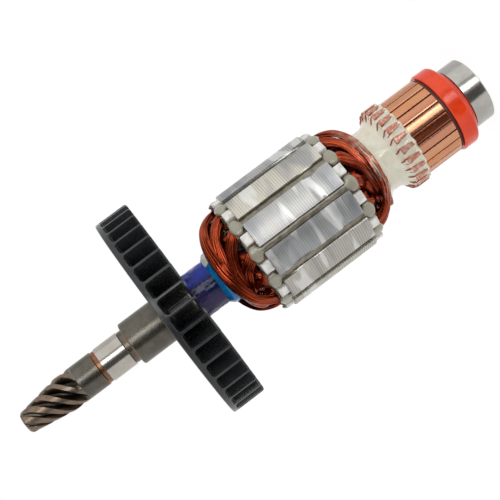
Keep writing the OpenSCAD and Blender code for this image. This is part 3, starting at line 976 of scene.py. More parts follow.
@dataclass(frozen=True)
class Finishes:
    """Every finish of the armature."""

    # Turned carbon steel: satin, a warm grey with fine lines round it
    shaft: Finish = TurnedMetal(
        "turned_carbon_steel", "#6d6961", "#605c54", patch=4.0, grain=0.35, grain_depth=0.002,
        metallic=1.0, roughness=0.3, roughness_swing=0.06, band_colour="#a0623a",
        bands=((145.6, 147.5, 0.95), (135.2, 135.9, 0.5)),
    )
    # Ground journal of the same steel: bright, with the wheel's fine lines round it
    seat: Finish = TurnedMetal(
        "ground_carbon_steel", "#bfbab1", "#b3aea4", patch=5.0, grain=0.3, grain_depth=0.002,
        metallic=1.0, roughness=0.15, roughness_swing=0.04, line=0.22, line_depth=0.0015,
    )
    # Hobbed case-hardened steel: darker, with painted shade in the gaps and rust on the crests
    gear: Finish = GearSteel(
        "hobbed_gear_steel", "#7f796e", "#6d675d", patch=3.0, grain=0.3, grain_depth=0.01,
        metallic=1.0, roughness=0.34,
    )
    # Ground bearing steel: bright and nearly mirror-smooth
    bearing: Finish = TurnedMetal(
        "ground_bearing_steel", "#c1beb8", "#b6b3ac", patch=5.0, grain=0.3, grain_depth=0.003,
        metallic=1.0, roughness=0.17, roughness_swing=0.05, line=0.2, line_depth=0.002,
    )
    # Pressed tin-coated steel: the shields of the bearing, a little duller
    shield: Finish = TurnedMetal(
        "pressed_shield_steel", "#b6b4b0", "#a3a19d", grain=0.4, grain_depth=0.006,
        metallic=1.0, roughness=0.34,
    )
    # Glass-filled polyamide: the ball cage, a dull cream
    cage: Finish = Finish("cage_polyamide", "#b3a88f", "#a0957c", grain=0.4, roughness=0.55)
    # Electrical steel sheet, stacked and turned: bright, with the sheet edges in lines
    core: Finish = LaminatedSteel(
        "laminated_electrical_steel", "#cdcac3", "#b9b8b6", patch=5.0, grain_depth=0.001,
        metallic=1.0, roughness=0.45, roughness_swing=0.06,
    )
    # Vulcanised fibre end piece: pale grey-white, matt and slightly fuzzy
    fibre: Finish = Finish(
        "vulcanised_fibre", "#eae9e5", "#cbc8bf", patch=2.4, grain=0.35, grain_depth=0.04,
        roughness=0.62,
    )
    # Slot-liner pressboard soaked in varnish: brown, uneven
    liner: Finish = Finish(
        "varnished_pressboard", "#8a6a52", "#5e4334", patch=2.0, grain=0.4, grain_depth=0.05,
        roughness=0.4,
    )
    # Slot wedge of glass laminate under dripped varnish: grey-olive, wet gloss
    wedge: Finish = VarnishedWedge(
        "varnished_slot_wedge", "#8a8472", "#676050", patch=2.2, grain=0.9, grain_depth=0.1,
        roughness=0.16, constants=(("Coat Weight", 0.6), ("Coat Roughness", 0.06)),
    )
    # Enamelled copper wire under baked varnish: orange-red with fine glints
    wire: Finish = EnamelledWire(
        "enamelled_copper_wire", "#a03a14", "#7c260c", patch=4.0, grain=0.8, grain_depth=0.002,
        metallic=0.92, roughness=0.2, roughness_swing=0.06,
        constants=(("Coat Weight", 0.22), ("Coat Roughness", 0.05)),
    )
    # Enamelled lead wire half sunk in resin: dark red-brown
    lead: Finish = Finish(
        "enamelled_lead_wire", "#8f2f18", "#b5603f", patch=2.5, grain=0.6, roughness=0.25,
        metallic=0.4,
    )
    # Trickle resin, cured: ivory, cloudy and wet-looking
    resin: Finish = Finish(
        "trickle_resin", "#e6e2d2", "#d8d2ba", patch=4.5, patch_low=0.4, patch_high=0.75,
        grain=2.2, grain_depth=0.1, roughness=0.14, roughness_swing=0.08,
        constants=(
            ("Subsurface Weight", 0.25), ("Subsurface Scale", 0.0015),
            ("Coat Weight", 0.5), ("Coat Roughness", 0.05),
        ),
    )
    # Heat-shrunk sleeve: deep blue, glossy, with painted navy shade and violet sheen on one side
    sleeve: Finish = SleeveFilm(
        "shrunk_polyester_sleeve", "#062da6", "#141f6a", patch=3.6, patch_low=0.46,
        patch_high=0.6, grain=0.8, grain_depth=0.11, roughness=0.09, roughness_swing=0.05,
        constants=(("Specular IOR Level", 0.32),),
    )
    # Cast epoxy collar beside the winding: cyan with a cream run where the filler set
    collar: Finish = RunEpoxy(
        "epoxy_collar", "#0a86c8", "#0a5fae", patch=3.0, grain=1.5, grain_depth=0.05,
        roughness=0.2,
    )
    # Hard paper washer: beige, matt
    washer: Finish = Finish("hard_paper_washer", "#b8ad96", "#978b73", grain=0.4, roughness=0.6)
    # Hard-drawn commutator copper: satin, each bar with its own tone and one dark bar, as painted
    # reflection
    copper: Finish = SegmentCopper(
        "hard_drawn_copper", "#d69a72", "#c98660", patch=3.5, grain=0.4, grain_depth=0.002,
        metallic=1.0, roughness=0.21, roughness_swing=0.06,
    )
    # Phenolic moulding that holds the bars: dark brown
    moulding: Finish = Finish(
        "phenolic_moulding", "#5a2a1a", "#3a1c14", grain=0.4, grain_depth=0.03, roughness=0.45
    )
    # Moulded polyester ring: glossy orange-red
    ring: Finish = Finish(
        "moulded_polyester", "#ec430c", "#e0380a", patch=7.0, grain=1.2, grain_depth=0.004,
        roughness=0.14, roughness_swing=0.04,
    )
    # Glass-filled polyamide fan: near black, satin
    fan: Finish = Finish(
        "moulded_polyamide", "#232527", "#2c2d2e", patch=5.0, grain_depth=0.004,
        roughness=0.24, roughness_swing=0.08,
    )


# ---------------------------------------------------------------- sub-assemblies


@dataclass
class Shaft:
    """The steel shaft with its helical pinion."""

    finishes: Finishes
    end_r: float = 4.0
    journal_r: float = 5.0
    core_r: float = 6.0
    thick_r: float = 7.5
    groove_depth: float = 0.3
    shoulder_z: float = 36.0
    relief_z: float = 135.2
    seat_z: float = 137.1
    groove_z: float = 145.7
    pinion_z: float = 147.3
    teeth_z: float = 154.7
    taper_z: float = 160.8
    pinion_r: float = 5.95
    root_r: float = 3.1
    tip_r: float = 3.65
    tip_chamfer: float = 0.6
    centre_r: float = 1.2
    centre_end_r: float = 0.3
    centre_depth: float = 1.5
    centre_shade: float = 0.4
    teeth: int = 6
    lead: float = 31.0
    first_gap: float = 270.9
    runout: float = 4.0
    runout_power: float = 0.6
    floor_angle: float = 7.0
    crest_angle: float = 20.0
    flank_share: float = 0.55
    edge_width: float = 0.45
    edge_angle: float = 7.0
    gap_shade: float = 1.3
    sides_per_tooth: int = 20
    rings: int = 96

    def blank_r(self, z: float) -> float:
        """Finds the radius of the pinion blank, a little under the solid's.

        Args:
            z: Height in millimetres.

        Returns:
            The radius.
        """
        _, tip, _ = span("shaft")
        full = self.pinion_r - 0.03
        if z < self.taper_z:
            return full
        if z < tip - self.tip_chamfer:
            share = (z - self.taper_z) / (tip - self.tip_chamfer - self.taper_z)
            return full - (full - self.tip_r) * share
        return self.tip_r - (z - tip + self.tip_chamfer)

    def tooth(self, local: float, z: float) -> tuple[float, float, float]:
        """Finds the pinion's surface at an angle from the middle of a gap.

        Args:
            local: Angle from the middle of the nearest gap, in degrees.
            z: Height in millimetres.

        Returns:
            Radius, a share of painted shade by how deep it lies in the gap, and how near a crest's
            edge it is.
        """
        depth = min(1.0, max(0.0, (z - self.teeth_z) / self.runout)) ** self.runout_power
        full = self.pinion_r - self.root_r
        root = self.pinion_r - depth * full
        flank = self.crest_angle - self.floor_angle
        rise = min(1.0, max(0.0, (abs(local) - self.floor_angle) / flank))
        curved = self.flank_share * rise + (1 - self.flank_share) * mix_step(rise)
        blank_r = self.blank_r(z)
        radius = min(blank_r, root + (self.pinion_r - root) * curved)
        edge = max(0.0, 1 - abs(radius - blank_r) / self.edge_width) * depth
        edge *= max(0.0, 1 - abs(abs(local) - self.crest_angle) / self.edge_angle)
        return radius, mix_step(self.gap_shade * (blank_r - radius) / full), edge

    def gear(self) -> bpy.types.Object:
        """Makes the toothed end, with its painted gap shade and crest edge attributes and a centre
        hole.

        Returns:
            The piece.
        """
        _, tip, _ = span("shaft")
        step, count = 360 / self.teeth, self.teeth * self.sides_per_tooth
        low = self.teeth_z - 0.2
        rise = (tip - self.tip_chamfer - low) / self.rings
        heights = [*(low + rise * i for i in range(self.rings + 1)), tip]
        points: list[Place] = []
        gap_shades: list[float] = []
        edges: list[float] = []
        for z in heights:
            turn = self.first_gap + 360 * (z - self.teeth_z) / self.lead
            for i in range(count):
                gap, side = divmod(i, self.sides_per_tooth)
                local = (side + 0.5) / self.sides_per_tooth * step - step / 2
                radius, depth, edge = self.tooth(local, z)
                points.append(round_place(radius, turn + gap * step + local, z))
                gap_shades.append(depth)
                edges.append(edge)
        for z, r in ((tip, self.centre_r), (tip - self.centre_depth, self.centre_end_r)):
            for x, y, _ in points[-count:]:
                shrink = r / math.hypot(x, y)
                points.append((x * shrink, y * shrink, z))
            # Painted shade in the centre hole.
            gap_shades += [self.centre_shade] * count
            edges += [0.0] * count
        piece = mesh_piece("helical_pinion", points, capped(count, len(heights) + 2), sharp=40)
        store(piece.data, "painted_gap_shade", gap_shades)
        store(piece.data, "crest_edge", edges)
        return piece

    def build(self) -> None:
        """Builds and dresses the shaft."""
        low, _, _ = span("shaft")
        bearing_top = span("bearing_inner_ring")[1]
        hub_z = span("fan_spacer_washer")[1]
        groove_r = self.core_r - self.groove_depth
        pinion_groove = self.pinion_r - self.groove_depth
        profile = [
            (0, low),
            (self.end_r - 0.5, low),
            (self.end_r, low + 0.5),
            (self.end_r, bearing_top),
            (self.journal_r, bearing_top),
            (self.journal_r, self.shoulder_z),
            (self.core_r, self.shoulder_z),
            (self.core_r, hub_z),
            (self.thick_r, hub_z),
            (self.thick_r, self.relief_z - 0.4),
            (self.thick_r - 0.4, self.relief_z),
            (groove_r, self.relief_z),
            (groove_r, self.seat_z),
            (groove_r, self.groove_z),
            (pinion_groove, self.groove_z),
            (pinion_groove, self.pinion_z - 0.3),
            (self.pinion_r, self.pinion_z),
            (self.pinion_r, self.teeth_z),
            (0, self.teeth_z),
        ]
        journal = [
            (groove_r - 0.5, self.seat_z - 0.25),
            (groove_r, self.seat_z - 0.3),
            (self.core_r, self.seat_z),
            (self.core_r, self.groove_z - 0.1),
            (self.core_r - 0.1, self.groove_z),
            (groove_r - 0.5, self.groove_z),
        ]
        for piece, finish in (
            (bevelled(revolved("turned_shaft", profile), 0.12), self.finishes.shaft),
            (revolved("ground_journal", journal), self.finishes.seat),
            (self.gear(), self.finishes.gear),
        ):
            place(piece, finish.build(), "shaft_steel", "shaft")


@dataclass
class Sleeve:
    """The shrunk sleeve over the shaft, with the collar and washer round it."""

    finishes: Finishes
    bore: float = 6.0
    skin_r: float = 7.0
    fold_depth: float = 0.2
    fold_width: float = 2.6
    fold_level: float = 0.4
    folds_round: float = 3.0
    collar_r: float = 8.2
    sag_depth: float = 0.3
    sag_share: float = 0.3
    sags_round: float = 1.6

    def wrinkle(self, r: float, z: float, turn: float) -> float:
        """Finds the extra radius of the outer skin.

        Args:
            r: Radius of the plain skin.
            z: Height.
            turn: Angle in radians.

        Returns:
            The extra radius.
        """
        if r < self.skin_r:
            return 0.0
        x, y = math.cos(turn) * self.folds_round, math.sin(turn) * self.folds_round
        folds = noise.fractal(Vector((x, y, z / self.fold_width)), 1.0, 2.0, 3)
        return self.fold_depth * (folds - self.fold_level)

    def sag(self, r: float, z: float, turn: float) -> float:
        """Finds the extra radius of the cast collar, as wrinkle does for the skin.

        Args:
            r: Radius of the plain collar.
            z: Height.
            turn: Angle in radians.

        Returns:
            The extra radius.
        """
        if r < self.collar_r:
            return 0.0
        x, y = math.cos(turn) * self.sags_round, math.sin(turn) * self.sags_round
        return self.sag_depth * noise.noise(Vector((x, y, z * self.sag_share)))

    def build(self) -> None:
        """Builds and dresses the sleeve, collar and washer."""
        bore = self.bore
        low, high, reach = span("insulating_sleeve")
        skin_profile = [
            (bore, low), (reach, low), (reach, high - 0.3), (reach - 0.3, high), (bore, high)
        ]
        sleeve = revolved("shrunk_sleeve", subdivided(skin_profile, 0.5), 144, self.wrinkle, 60)
        low, high, reach = span("insulating_collar")
        fillet = [
            (7.6, high + 0.1),
            (7.9, high + 0.05),
            (8.3, high - 0.3),
            (8.8, high - 0.8),
            (reach, high - 1.3),
            (reach + 0.2, low - 1.6),
            (reach, low - 3.0),
            (7.6, low - 3.2),
        ]
        collar = revolved("epoxy_collar", subdivided(fillet, 0.5), 144, self.sag, 60)
        low, high, reach = span("fan_spacer_washer")
        flat = [(bore, low), (reach, low), (reach, high), (bore, high)]
        washer = bevelled(revolved("hard_paper_washer", flat), 0.12)
        for piece, finish, slot, node in (
            (sleeve, self.finishes.sleeve, "sleeve_plastic", "insulating_sleeve"),
            (collar, self.finishes.collar, "collar_plastic", "insulating_collar"),
            (washer, self.finishes.washer, "washer_fibre", "fan_spacer_washer"),
        ):
            place(piece, finish.build(), slot, node)


@dataclass
class Core:
    """The laminated core with its fibre ends, slot wedges and slot liners."""

    finishes: Finishes
    slots: int = 12
    core_low: float = 54.0
    core_high: float = 87.9
    mouth_half: float = 1.15
    tongue_half: float = 2.75
    floor_r: float = 18.5
    fill_r: float = 20.15
    tongue_r: float = 20.45
    tip_round: float = 1.9
    tip_least: float = 0.2
    neck_run: float = 1.2
    squareness: float = 0.7
    sides: int = 16
    ring_step: float = 0.55
    lump_depth: float = 0.35
    lump_width: float = 1.9

    def wedge(self) -> bpy.types.Object:
        """Makes one slot's wedge on the +X side, with a rounded tongue at each end.

        Returns:
            The wedge.
        """
        low, high, _ = span("slot_wedges")
        rings = int((high - low) / self.ring_step)
        points: list[Place] = []
        for ring in range(rings + 1):
            z = low + (high - low) * ring / rings
            from_low, to_high = z - self.core_low, self.core_high - z
            inside = mix_step(from_low / self.neck_run) * mix_step(to_high / self.neck_run)
            from_end = min(z - low, high - z, self.tip_round) / self.tip_round
            size = max(self.tip_least, math.sqrt(1 - (1 - from_end) ** 2))
            half = (self.tongue_half + (self.mouth_half - self.tongue_half) * inside) * size
            top = self.tongue_r + (self.fill_r - self.tongue_r) * inside
            middle, rise = (self.floor_r + top) / 2, (top - self.floor_r) / 2 * size
            for i in range(self.sides):
                turn = 2 * math.pi * i / self.sides
                round_x, round_y = math.sin(turn), math.cos(turn)
                x = math.copysign(abs(round_x) ** self.squareness, round_x)
                y = math.copysign(abs(round_y) ** self.squareness, round_y)
                points.append((middle + rise * x, half * y, z))
        return mesh_piece("varnished_wedges", points, capped(self.sides, rings + 1), sharp=60)

    def lumpy(self, piece: bpy.types.Object) -> None:
        """Moves the points of a piece towards the shaft by a smooth noise.

        Args:
            piece: Piece to change.
        """
        for vertex in piece.data.vertices:
            amount = 0.5 + 0.5 * noise.noise(vertex.co * (1 / (self.lump_width * MM)))
            flat = Vector((vertex.co.x, vertex.co.y, 0))
            vertex.co -= flat.normalized() * amount * self.lump_depth * MM
        shade(piece, 60)

    def build(self) -> None:
        """Builds and dresses the core."""
        stack = merged_copy("laminated_stack", ["core_stack"], sharp=24)
        place(stack, self.finishes.core.build(), "core_steel", "core_stack")
        fibre = self.finishes.fibre.build()
        for side in ("commutator_side", "fan_side"):
            end = bevelled(merged_copy(f"fibre_end_{side}", [f"end_fibre_{side}"]), 0.35, segments=3)
            place(end, fibre, "fibre", f"end_fibre_{side}")
        varnish = self.finishes.wedge.build()
        wedges = repeated_round(self.wedge(), self.slots, 0.0, varnish)
        self.lumpy(wedges)
        place(wedges, varnish, "wedge_varnish", "slot_wedges")
        liners = merged_copy("slot_liner_paper", ["slot_liners"])
        place(liners, self.finishes.liner.build(), "liner_paper", "slot_liners")


@dataclass
class PathPoint:
    """One point of a coil's path: its place, the two directions of its section, half sizes."""

    place: Vector
    outward: Vector
    half_width: float
    half_height: float
    crown: float
    across: Vector = field(default_factory=Vector)


@dataclass
class Windings:
    """Twelve former-wound coils in six layers, each a bundle of wires."""

    finishes: Finishes
    wire_d: float = 0.74
    columns: int = 8
    rows: int = 4
    wander: float = 0.24
    wander_width: float = 1000 / 85
    held_in: float = 1.06
    crown: float = 0.9
    fibre_low: float = 52.2
    fibre_high: float = 89.7
    stand_out: float = 0.7
    layers: int = 6
    span_angle: float = 150.0
    dome_r: float = 5.2
    dome_reach: float = 11.95
    reach_step: float = 0.9
    rise: float = 9.8
    rise_step: float = 1.55
    turn_r: float = 9.9
    turn_step: float = 0.25
    lean: float = 0.6
    exit_share: float = 0.16
    top_side: Point = (17.05, 2.2)
    bottom_side: Point = (14.2, 2.1)
    side_fill: float = 0.93
    head_w: float = 3.0
    head_w_step: float = 0.85
    head_half_h: float = 0.62
    head_steps: int = 44

    def head_point(self, k: int, start: float, ends: Point, w: float) -> tuple[Vector, Vector]:
        """Finds a point of a coil's head, with its height over the slot's end.

        Args:
            k: Layer, 1 for the innermost.
            start: Angle of the coil's start slot in degrees.
            ends: Radius of the coil in its start slot and in its end slot.
            w: Share of the way from the start slot to the end slot.

        Returns:
            The place and the outward direction.
        """
        under = self.layers - k
        reach = self.dome_reach - self.reach_step * under
        rise = self.rise - self.rise_step * under
        turn = self.turn_r + self.turn_step * (k - 1)
        climb = math.acos((turn - self.dome_r) / reach) * math.sin(math.pi * w)
        near = 1 - mix_step(w / self.exit_share)
        far = 1 - mix_step((1 - w) / self.exit_share)
        dome = self.dome_r + reach
        r = self.dome_r + reach * math.cos(climb) + (ends[0] - dome) * near + (ends[1] - dome) * far
        z = rise * math.sin(climb) + min(1.0, 6 * min(w, 1 - w))
        lean = self.lean * math.sin(2 * math.pi * w) / (2 * math.pi)
        angle = start - self.span_angle * (w - lean)
        normal = Vector((rise * math.cos(climb), reach * math.sin(climb))).normalized()
        return Vector(round_place(r, angle, z)), Vector(round_place(normal.x, angle, normal.y))

    def path(self, number: int) -> list[PathPoint]:
        """Finds the closed path of a coil.

        Args:
            number: Number of the coil, from 1.

        Returns:
            The points of the path, in millimetres.
        """
        k, opposite = (number + 1) // 2, (number + 1) % 2
        start = 180.0 * opposite - 30.0 * (self.layers - k)
        sides = (
            self.bottom_side if k == 1 else self.top_side,
            self.top_side if k == self.layers else self.bottom_side,
        )
        ends = (sides[0][0], sides[1][0])
        widths = [self.side_fill * slot_half_width(r - h / 2) for r, h in sides]
        head_half = (self.head_w + self.head_w_step * (k - 1)) / 2
        half_len = (self.fibre_high - self.fibre_low) / 2 + self.stand_out
        loop: list[PathPoint] = []
        for i in range(self.head_steps + 1):
            w = i / self.head_steps
            side, away = (0, w) if w <= 0.5 else (1, 1 - w)
            spot, outward = self.head_point(k, start, ends, w)
            spot.z += half_len
            half_w, half_h = widths[side], sides[side][1] / 2
            spread, climbed = mix_step(2 * away), mix_step(4 * away)
            half_w += (head_half - half_w) * spread
            half_h += (self.head_half_h - half_h) * climbed
            loop.append(PathPoint(spot, outward, half_w, half_h, self.crown * climbed))
        down = Vector((1, 1, -1))
        loop += [
            PathPoint(p.place * down, p.outward * down, p.half_width, p.half_height, p.crown)
            for p in reversed(loop)
        ]
        for i, point in enumerate(loop):
            along = (loop[(i + 1) % len(loop)].place - loop[i - 1].place).normalized()
            point.outward = (point.outward - along * along.dot(point.outward)).normalized()
            point.across = point.outward.cross(along).normalized()
        for point in loop:
            point.place.z += (self.fibre_low + self.fibre_high) / 2
        return loop

    def tree(self) -> bpy.types.NodeTree:
        """Makes the node tree that fills a coil's path with its wires.

        Returns:
            The tree.
        """
        inputs = {"Path": "Geometry", "Columns": "Int", "Rows": "Int"}
        inputs |= {"Wire Radius": "Float", "Wander": "Float", "Seed": "Int"}
        tree, given = geometry_tree("wire_bundle", inputs)
        make = Nodes(tree)
        columns, rows, radius = given["Columns"], given["Rows"], given["Wire Radius"]
        line = add(tree, "GeometryNodeMeshToCurve", {"Mesh": given["Path"]}).outputs[0]
        values = {"Geometry": line, "Amount": make.calc("MULTIPLY", columns, rows)}
        copies = add(tree, "GeometryNodeDuplicateElements", values, domain="SPLINE").outputs
        number = copies["Duplicate Index"]
        row = make.calc("FLOOR", make.calc("DIVIDE", number, columns))
        column = make.calc("MODULO", number, columns)
        shifted = make.calc("MULTIPLY_ADD", make.calc("MODULO", row, 2.0), 0.5, column)
        u = make.remap(shifted, 0.0, make.calc("SUBTRACT", columns, 0.5), -1.0, 1.0)
        v = make.remap(row, 0.0, make.calc("SUBTRACT", rows, 1.0), -1.0, 1.0)
        phase = make.calc("MULTIPLY_ADD", number, 3.7, given["Seed"])
        here = add(tree, "GeometryNodeInputPosition").outputs[0]
        values = {"Vector": here, "W": phase, "Scale": 1000 / self.wander_width, "Detail": 1.0}
        drift = add(tree, "ShaderNodeTexNoise", values, noise_dimensions="4D").outputs[1]
        values = {0: drift, 1: (0.5, 0.5, 0.5)}
        centred = add(tree, "ShaderNodeVectorMath", values, operation="SUBTRACT").outputs[0]
        moved = make.scaled(centred, make.calc("MULTIPLY", given["Wander"], 4.0))
        sway = add(tree, "ShaderNodeSeparateXYZ", {0: moved}).outputs
        held: list[Socket] = []
        for share, drifted in ((u, sway[0]), (v, sway[1])):
            swayed = make.calc("ADD", share, drifted)
            values = {"Value": swayed, "Min": -self.held_in, "Max": self.held_in}
            held.append(add(tree, "ShaderNodeClamp", values).outputs[0])
        arch = make.calc("SUBTRACT", 0.45, make.calc("MULTIPLY", held[0], held[0]))
        lift = make.calc("MULTIPLY", arch, make.stored("crown", "FLOAT"))
        parts: list[Socket] = []
        for share, raised, half, direction in (
            (held[0], 0.0, "half_width", "across"),
            (held[1], lift, "half_height", "outward"),
        ):
            room = make.calc("SUBTRACT", make.stored(half, "FLOAT"), radius)
            far = make.calc("MULTIPLY_ADD", share, make.calc("MAXIMUM", room, 0.0), raised)
            parts.append(make.scaled(make.stored(direction, "FLOAT_VECTOR"), far))
        offset = add(tree, "ShaderNodeVectorMath", dict(enumerate(parts)), operation="ADD")
        values = {"Geometry": copies["Geometry"], "Offset": offset.outputs[0]}
        spread = add(tree, "GeometryNodeSetPosition", values).outputs[0]
        values = {"Geometry": spread, "Name": "tone", "Value": make.chance(phase)}
        toned = add(tree, "GeometryNodeStoreNamedAttribute", values, domain="POINT").outputs[0]
        circle = add(tree, "GeometryNodeCurvePrimitiveCircle", {"Resolution": 6, "Radius": radius})
        values = {"Curve": toned, "Profile Curve": circle.outputs[0]}
        tube = add(tree, "GeometryNodeCurveToMesh", values).outputs[0]
        close_tree(tree, tube, given["Finish"])
        return tree

    def bundle(
        self, number: int, tree: bpy.types.NodeTree, material: bpy.types.Material
    ) -> bpy.types.Object:
        """Makes one coil as wires that follow its path.

        Args:
            number: Number of the coil, from 1.
            tree: Tree that makes the wires.
            material: Finish of the wires.

        Returns:
            The coil as a plain mesh.
        """
        loop = self.path(number)
        edges = [(i, (i + 1) % len(loop)) for i in range(len(loop))]
        mesh = raw_mesh(f"coil_path_{number:02d}", [p.place for p in loop], (), edges)
        for name in ("across", "outward"):
            store(mesh, name, [getattr(p, name) for p in loop])
        for name in ("half_width", "half_height", "crown"):
            store(mesh, name, [getattr(p, name) * MM for p in loop])
        given: dict[str, object] = {
            "Columns": self.columns,
            "Rows": self.rows,
            "Wire Radius": self.wire_d / 2 * MM,
            "Wander": self.wander,
            "Seed": 11 * number,
            "Finish": material,
        }
        return grown(linked(f"wire_coil_{number:02d}", mesh), tree, given, 80)

    def build(self) -> None:
        """Builds and dresses the twelve coils."""
        material = self.finishes.wire.build()
        tree = self.tree()
        for number in range(1, 2 * self.layers + 1):
            coil = self.bundle(number, tree, material)
            place(coil, material, "enamelled_copper", f"coil_{number:02d}")


def slot_half_width(x: float) -> float:
    """Returns half the room across a slot, inside its liner, at a distance from the axis."""
    return x * math.tan(math.radians(15)) - 2.2 / math.cos(math.radians(15))


@dataclass
class ResinNeck:
    """The cured resin that covers the wires between the hooks and the winding."""

    finishes: Finishes
    collar_r: float = 14.3
    waist_r: float = 11.05
    waist_z: float = 39.4
    flare_reach: float = 4.55
    flare_height: float = 2.0
    flare_power: float = 2.8
    spread: float = 0.21
    start_z: float = 31.2
    end_z: float = 43.6
    step_z: float = 0.35
    first_hook: float = 277.5
    hook_pitch: float = 15.0
    hook_top: float = 34.6
    tip_z: float = 29.0
    tip_half_z: float = 1.1
    tip_half_w: float = 1.5
    tip_swell: float = 0.75
    creep_swell: float = 0.55
    creep_sink: float = 0.22
    drop_swell: float = 0.16
    rib_swell: float = 0.2
    rib_sink: float = 0.08
    rib_width: float = 2.4
    rib_length: float = 5.5

    def radius(self, z: float) -> float:
        """Finds the radius of the neck.

        Args:
            z: Height in millimetres.

        Returns:
            The radius.
        """
        if z < self.waist_z:
            share = (self.waist_z - z) / self.flare_reach
            flare = self.flare_height * share**self.flare_power
            return min(self.collar_r, self.waist_r + flare)
        return self.waist_r + self.spread * (z - self.waist_z) ** 2

    def sag(self, r: float, z: float, turn: float) -> float:
        """Finds the extra radius of the resin: strands under it, drops, and hooks it covers.

        Args:
            r: Radius of the plain neck.
            z: Height.
            turn: Angle in radians.

        Returns:
            The extra radius.
        """
        if r < 10:
            return 0.0
        x, y = math.cos(turn), math.sin(turn)
        spot = Vector((x * r / self.rib_width, y * r / self.rib_width, z / self.rib_length))
        ribs = self.rib_swell * noise.fractal(spot, 1.0, 2.0, 2)
        pitch = math.radians(self.hook_pitch)
        local = abs((turn - math.radians(self.first_hook)) / pitch % 1.0 - 0.5)
        below = self.hook_top - z
        creep = mix_step(below / 2.0) * (self.creep_swell * (2 * local) ** 2 - self.creep_sink)
        drops = noise.noise(Vector((x * 9, y * 9, z / 1.6)))
        ragged = self.drop_swell * drops * mix_step(below / 3.0)
        beside = (0.5 - local) * pitch * r / self.tip_half_w
        from_tip = (z - self.tip_z) / self.tip_half_z
        over_tip = max(0.0, 1 - from_tip**2) * max(0.0, 1 - beside**2)
        return ribs - self.rib_sink + creep + ragged + self.tip_swell * over_tip

    def build(self) -> None:
        """Builds and dresses the neck."""
        count = int((self.end_z - self.start_z) / self.step_z) + 1
        heights = [self.start_z + self.step_z * i for i in range(count)]
        front = [(13.3, 28.5), (13.62, 28.6), (13.95, 29.1), (14.15, 29.8)]
        inside = [(6.6, self.end_z), (6.6, 34.9), (13.3, 33.9)]
        profile = [*front, *((self.radius(z), z) for z in heights), *inside]
        neck = revolved("resin_neck", subdivided(profile, 0.5), 288, self.sag, 70)
        place(neck, self.finishes.resin.build(), "resin", "resin_neck")


@dataclass
class Commutator:
    """The copper bars with their hooks, the moulding that holds them and the coil leads.

    Each point of a loop is an angle from its hook, a radius and a height.
    """

    finishes: Finishes
    bars: int = 24
    first: float = 277.5
    lead_d: float = 0.45
    near_loop: tuple[Place, ...] = (
        (-1.8, 14.0, 31.6),
        (-3.3, 14.35, 32.4),
        (-4.2, 14.4, 33.2),
        (-4.9, 14.0, 33.9),
        (-5.4, 13.1, 34.5),
        (-5.9, 12.1, 35.0),
    )
    far_loop: tuple[Place, ...] = (
        (2.4, 13.9, 32.6),
        (3.7, 14.3, 33.3),
        (3.4, 14.25, 34.1),
        (2.0, 13.75, 34.6),
        (0.4, 13.0, 35.0),
        (-1.0, 12.0, 35.4),
    )

    def build(self) -> None:
        """Builds and dresses the commutator."""
        names = [f"commutator_bar_{i:02d}" for i in range(1, self.bars + 1)]
        copper = bevelled(merged_copy("copper_bars", names, sharp=20), 0.14, sharp=28)
        place(copper, self.finishes.copper.build(), "bar_copper", *names)
        hub = merged_copy("phenolic_hub", ["commutator_hub"])
        place(hub, self.finishes.moulding.build(), "moulding", "commutator_hub")
        lead = self.finishes.lead.build()
        for name, route in (("lead_loops_near", self.near_loop), ("lead_loops_far", self.far_loop)):
            loop = bent_wire(name, [round_place(r, a, z) for a, r, z in route], self.lead_d / 2)
            repeated_round(loop, self.bars, self.first, lead)
            place(loop, lead, "enamelled_copper", "coil_leads")


@dataclass
class InsulatingRing:
    """The orange ring between the bearing and the commutator."""

    finishes: Finishes

    def build(self) -> None:
        """Builds and dresses the ring."""
        ring = merged_copy("polyester_ring", ["insulating_ring"], sharp=30)
        place(ring, self.finishes.ring.build(), "ring_plastic", "insulating_ring")


@dataclass
class Bearing:
    """The shielded ball bearing at the commutator's end."""

    finishes: Finishes

    def build(self) -> None:
        """Builds and dresses the bearing's rings, shields, cage and balls."""
        steel = self.finishes.bearing.build()
        shield = self.finishes.shield.build()
        for name, node, material, slot, body in (
            ("inner_race", "inner_ring", steel, "bearing_steel", Body.ROTOR),
            ("outer_race", "outer_ring", steel, "bearing_steel", Body.OUTER_RING),
            ("inside_shield", "shield_inner", shield, "shield_steel", Body.OUTER_RING),
            ("outside_shield", "shield_outer", shield, "shield_steel", Body.OUTER_RING),
        ):
            piece = bevelled(merged_copy(name, [f"bearing_{node}"]), 0.08)
            place(piece, material, slot, f"bearing_{node}", body=body)
        dress_node("bearing_cage", self.finishes.cage.build())
        dress_node("bearing_balls", steel)


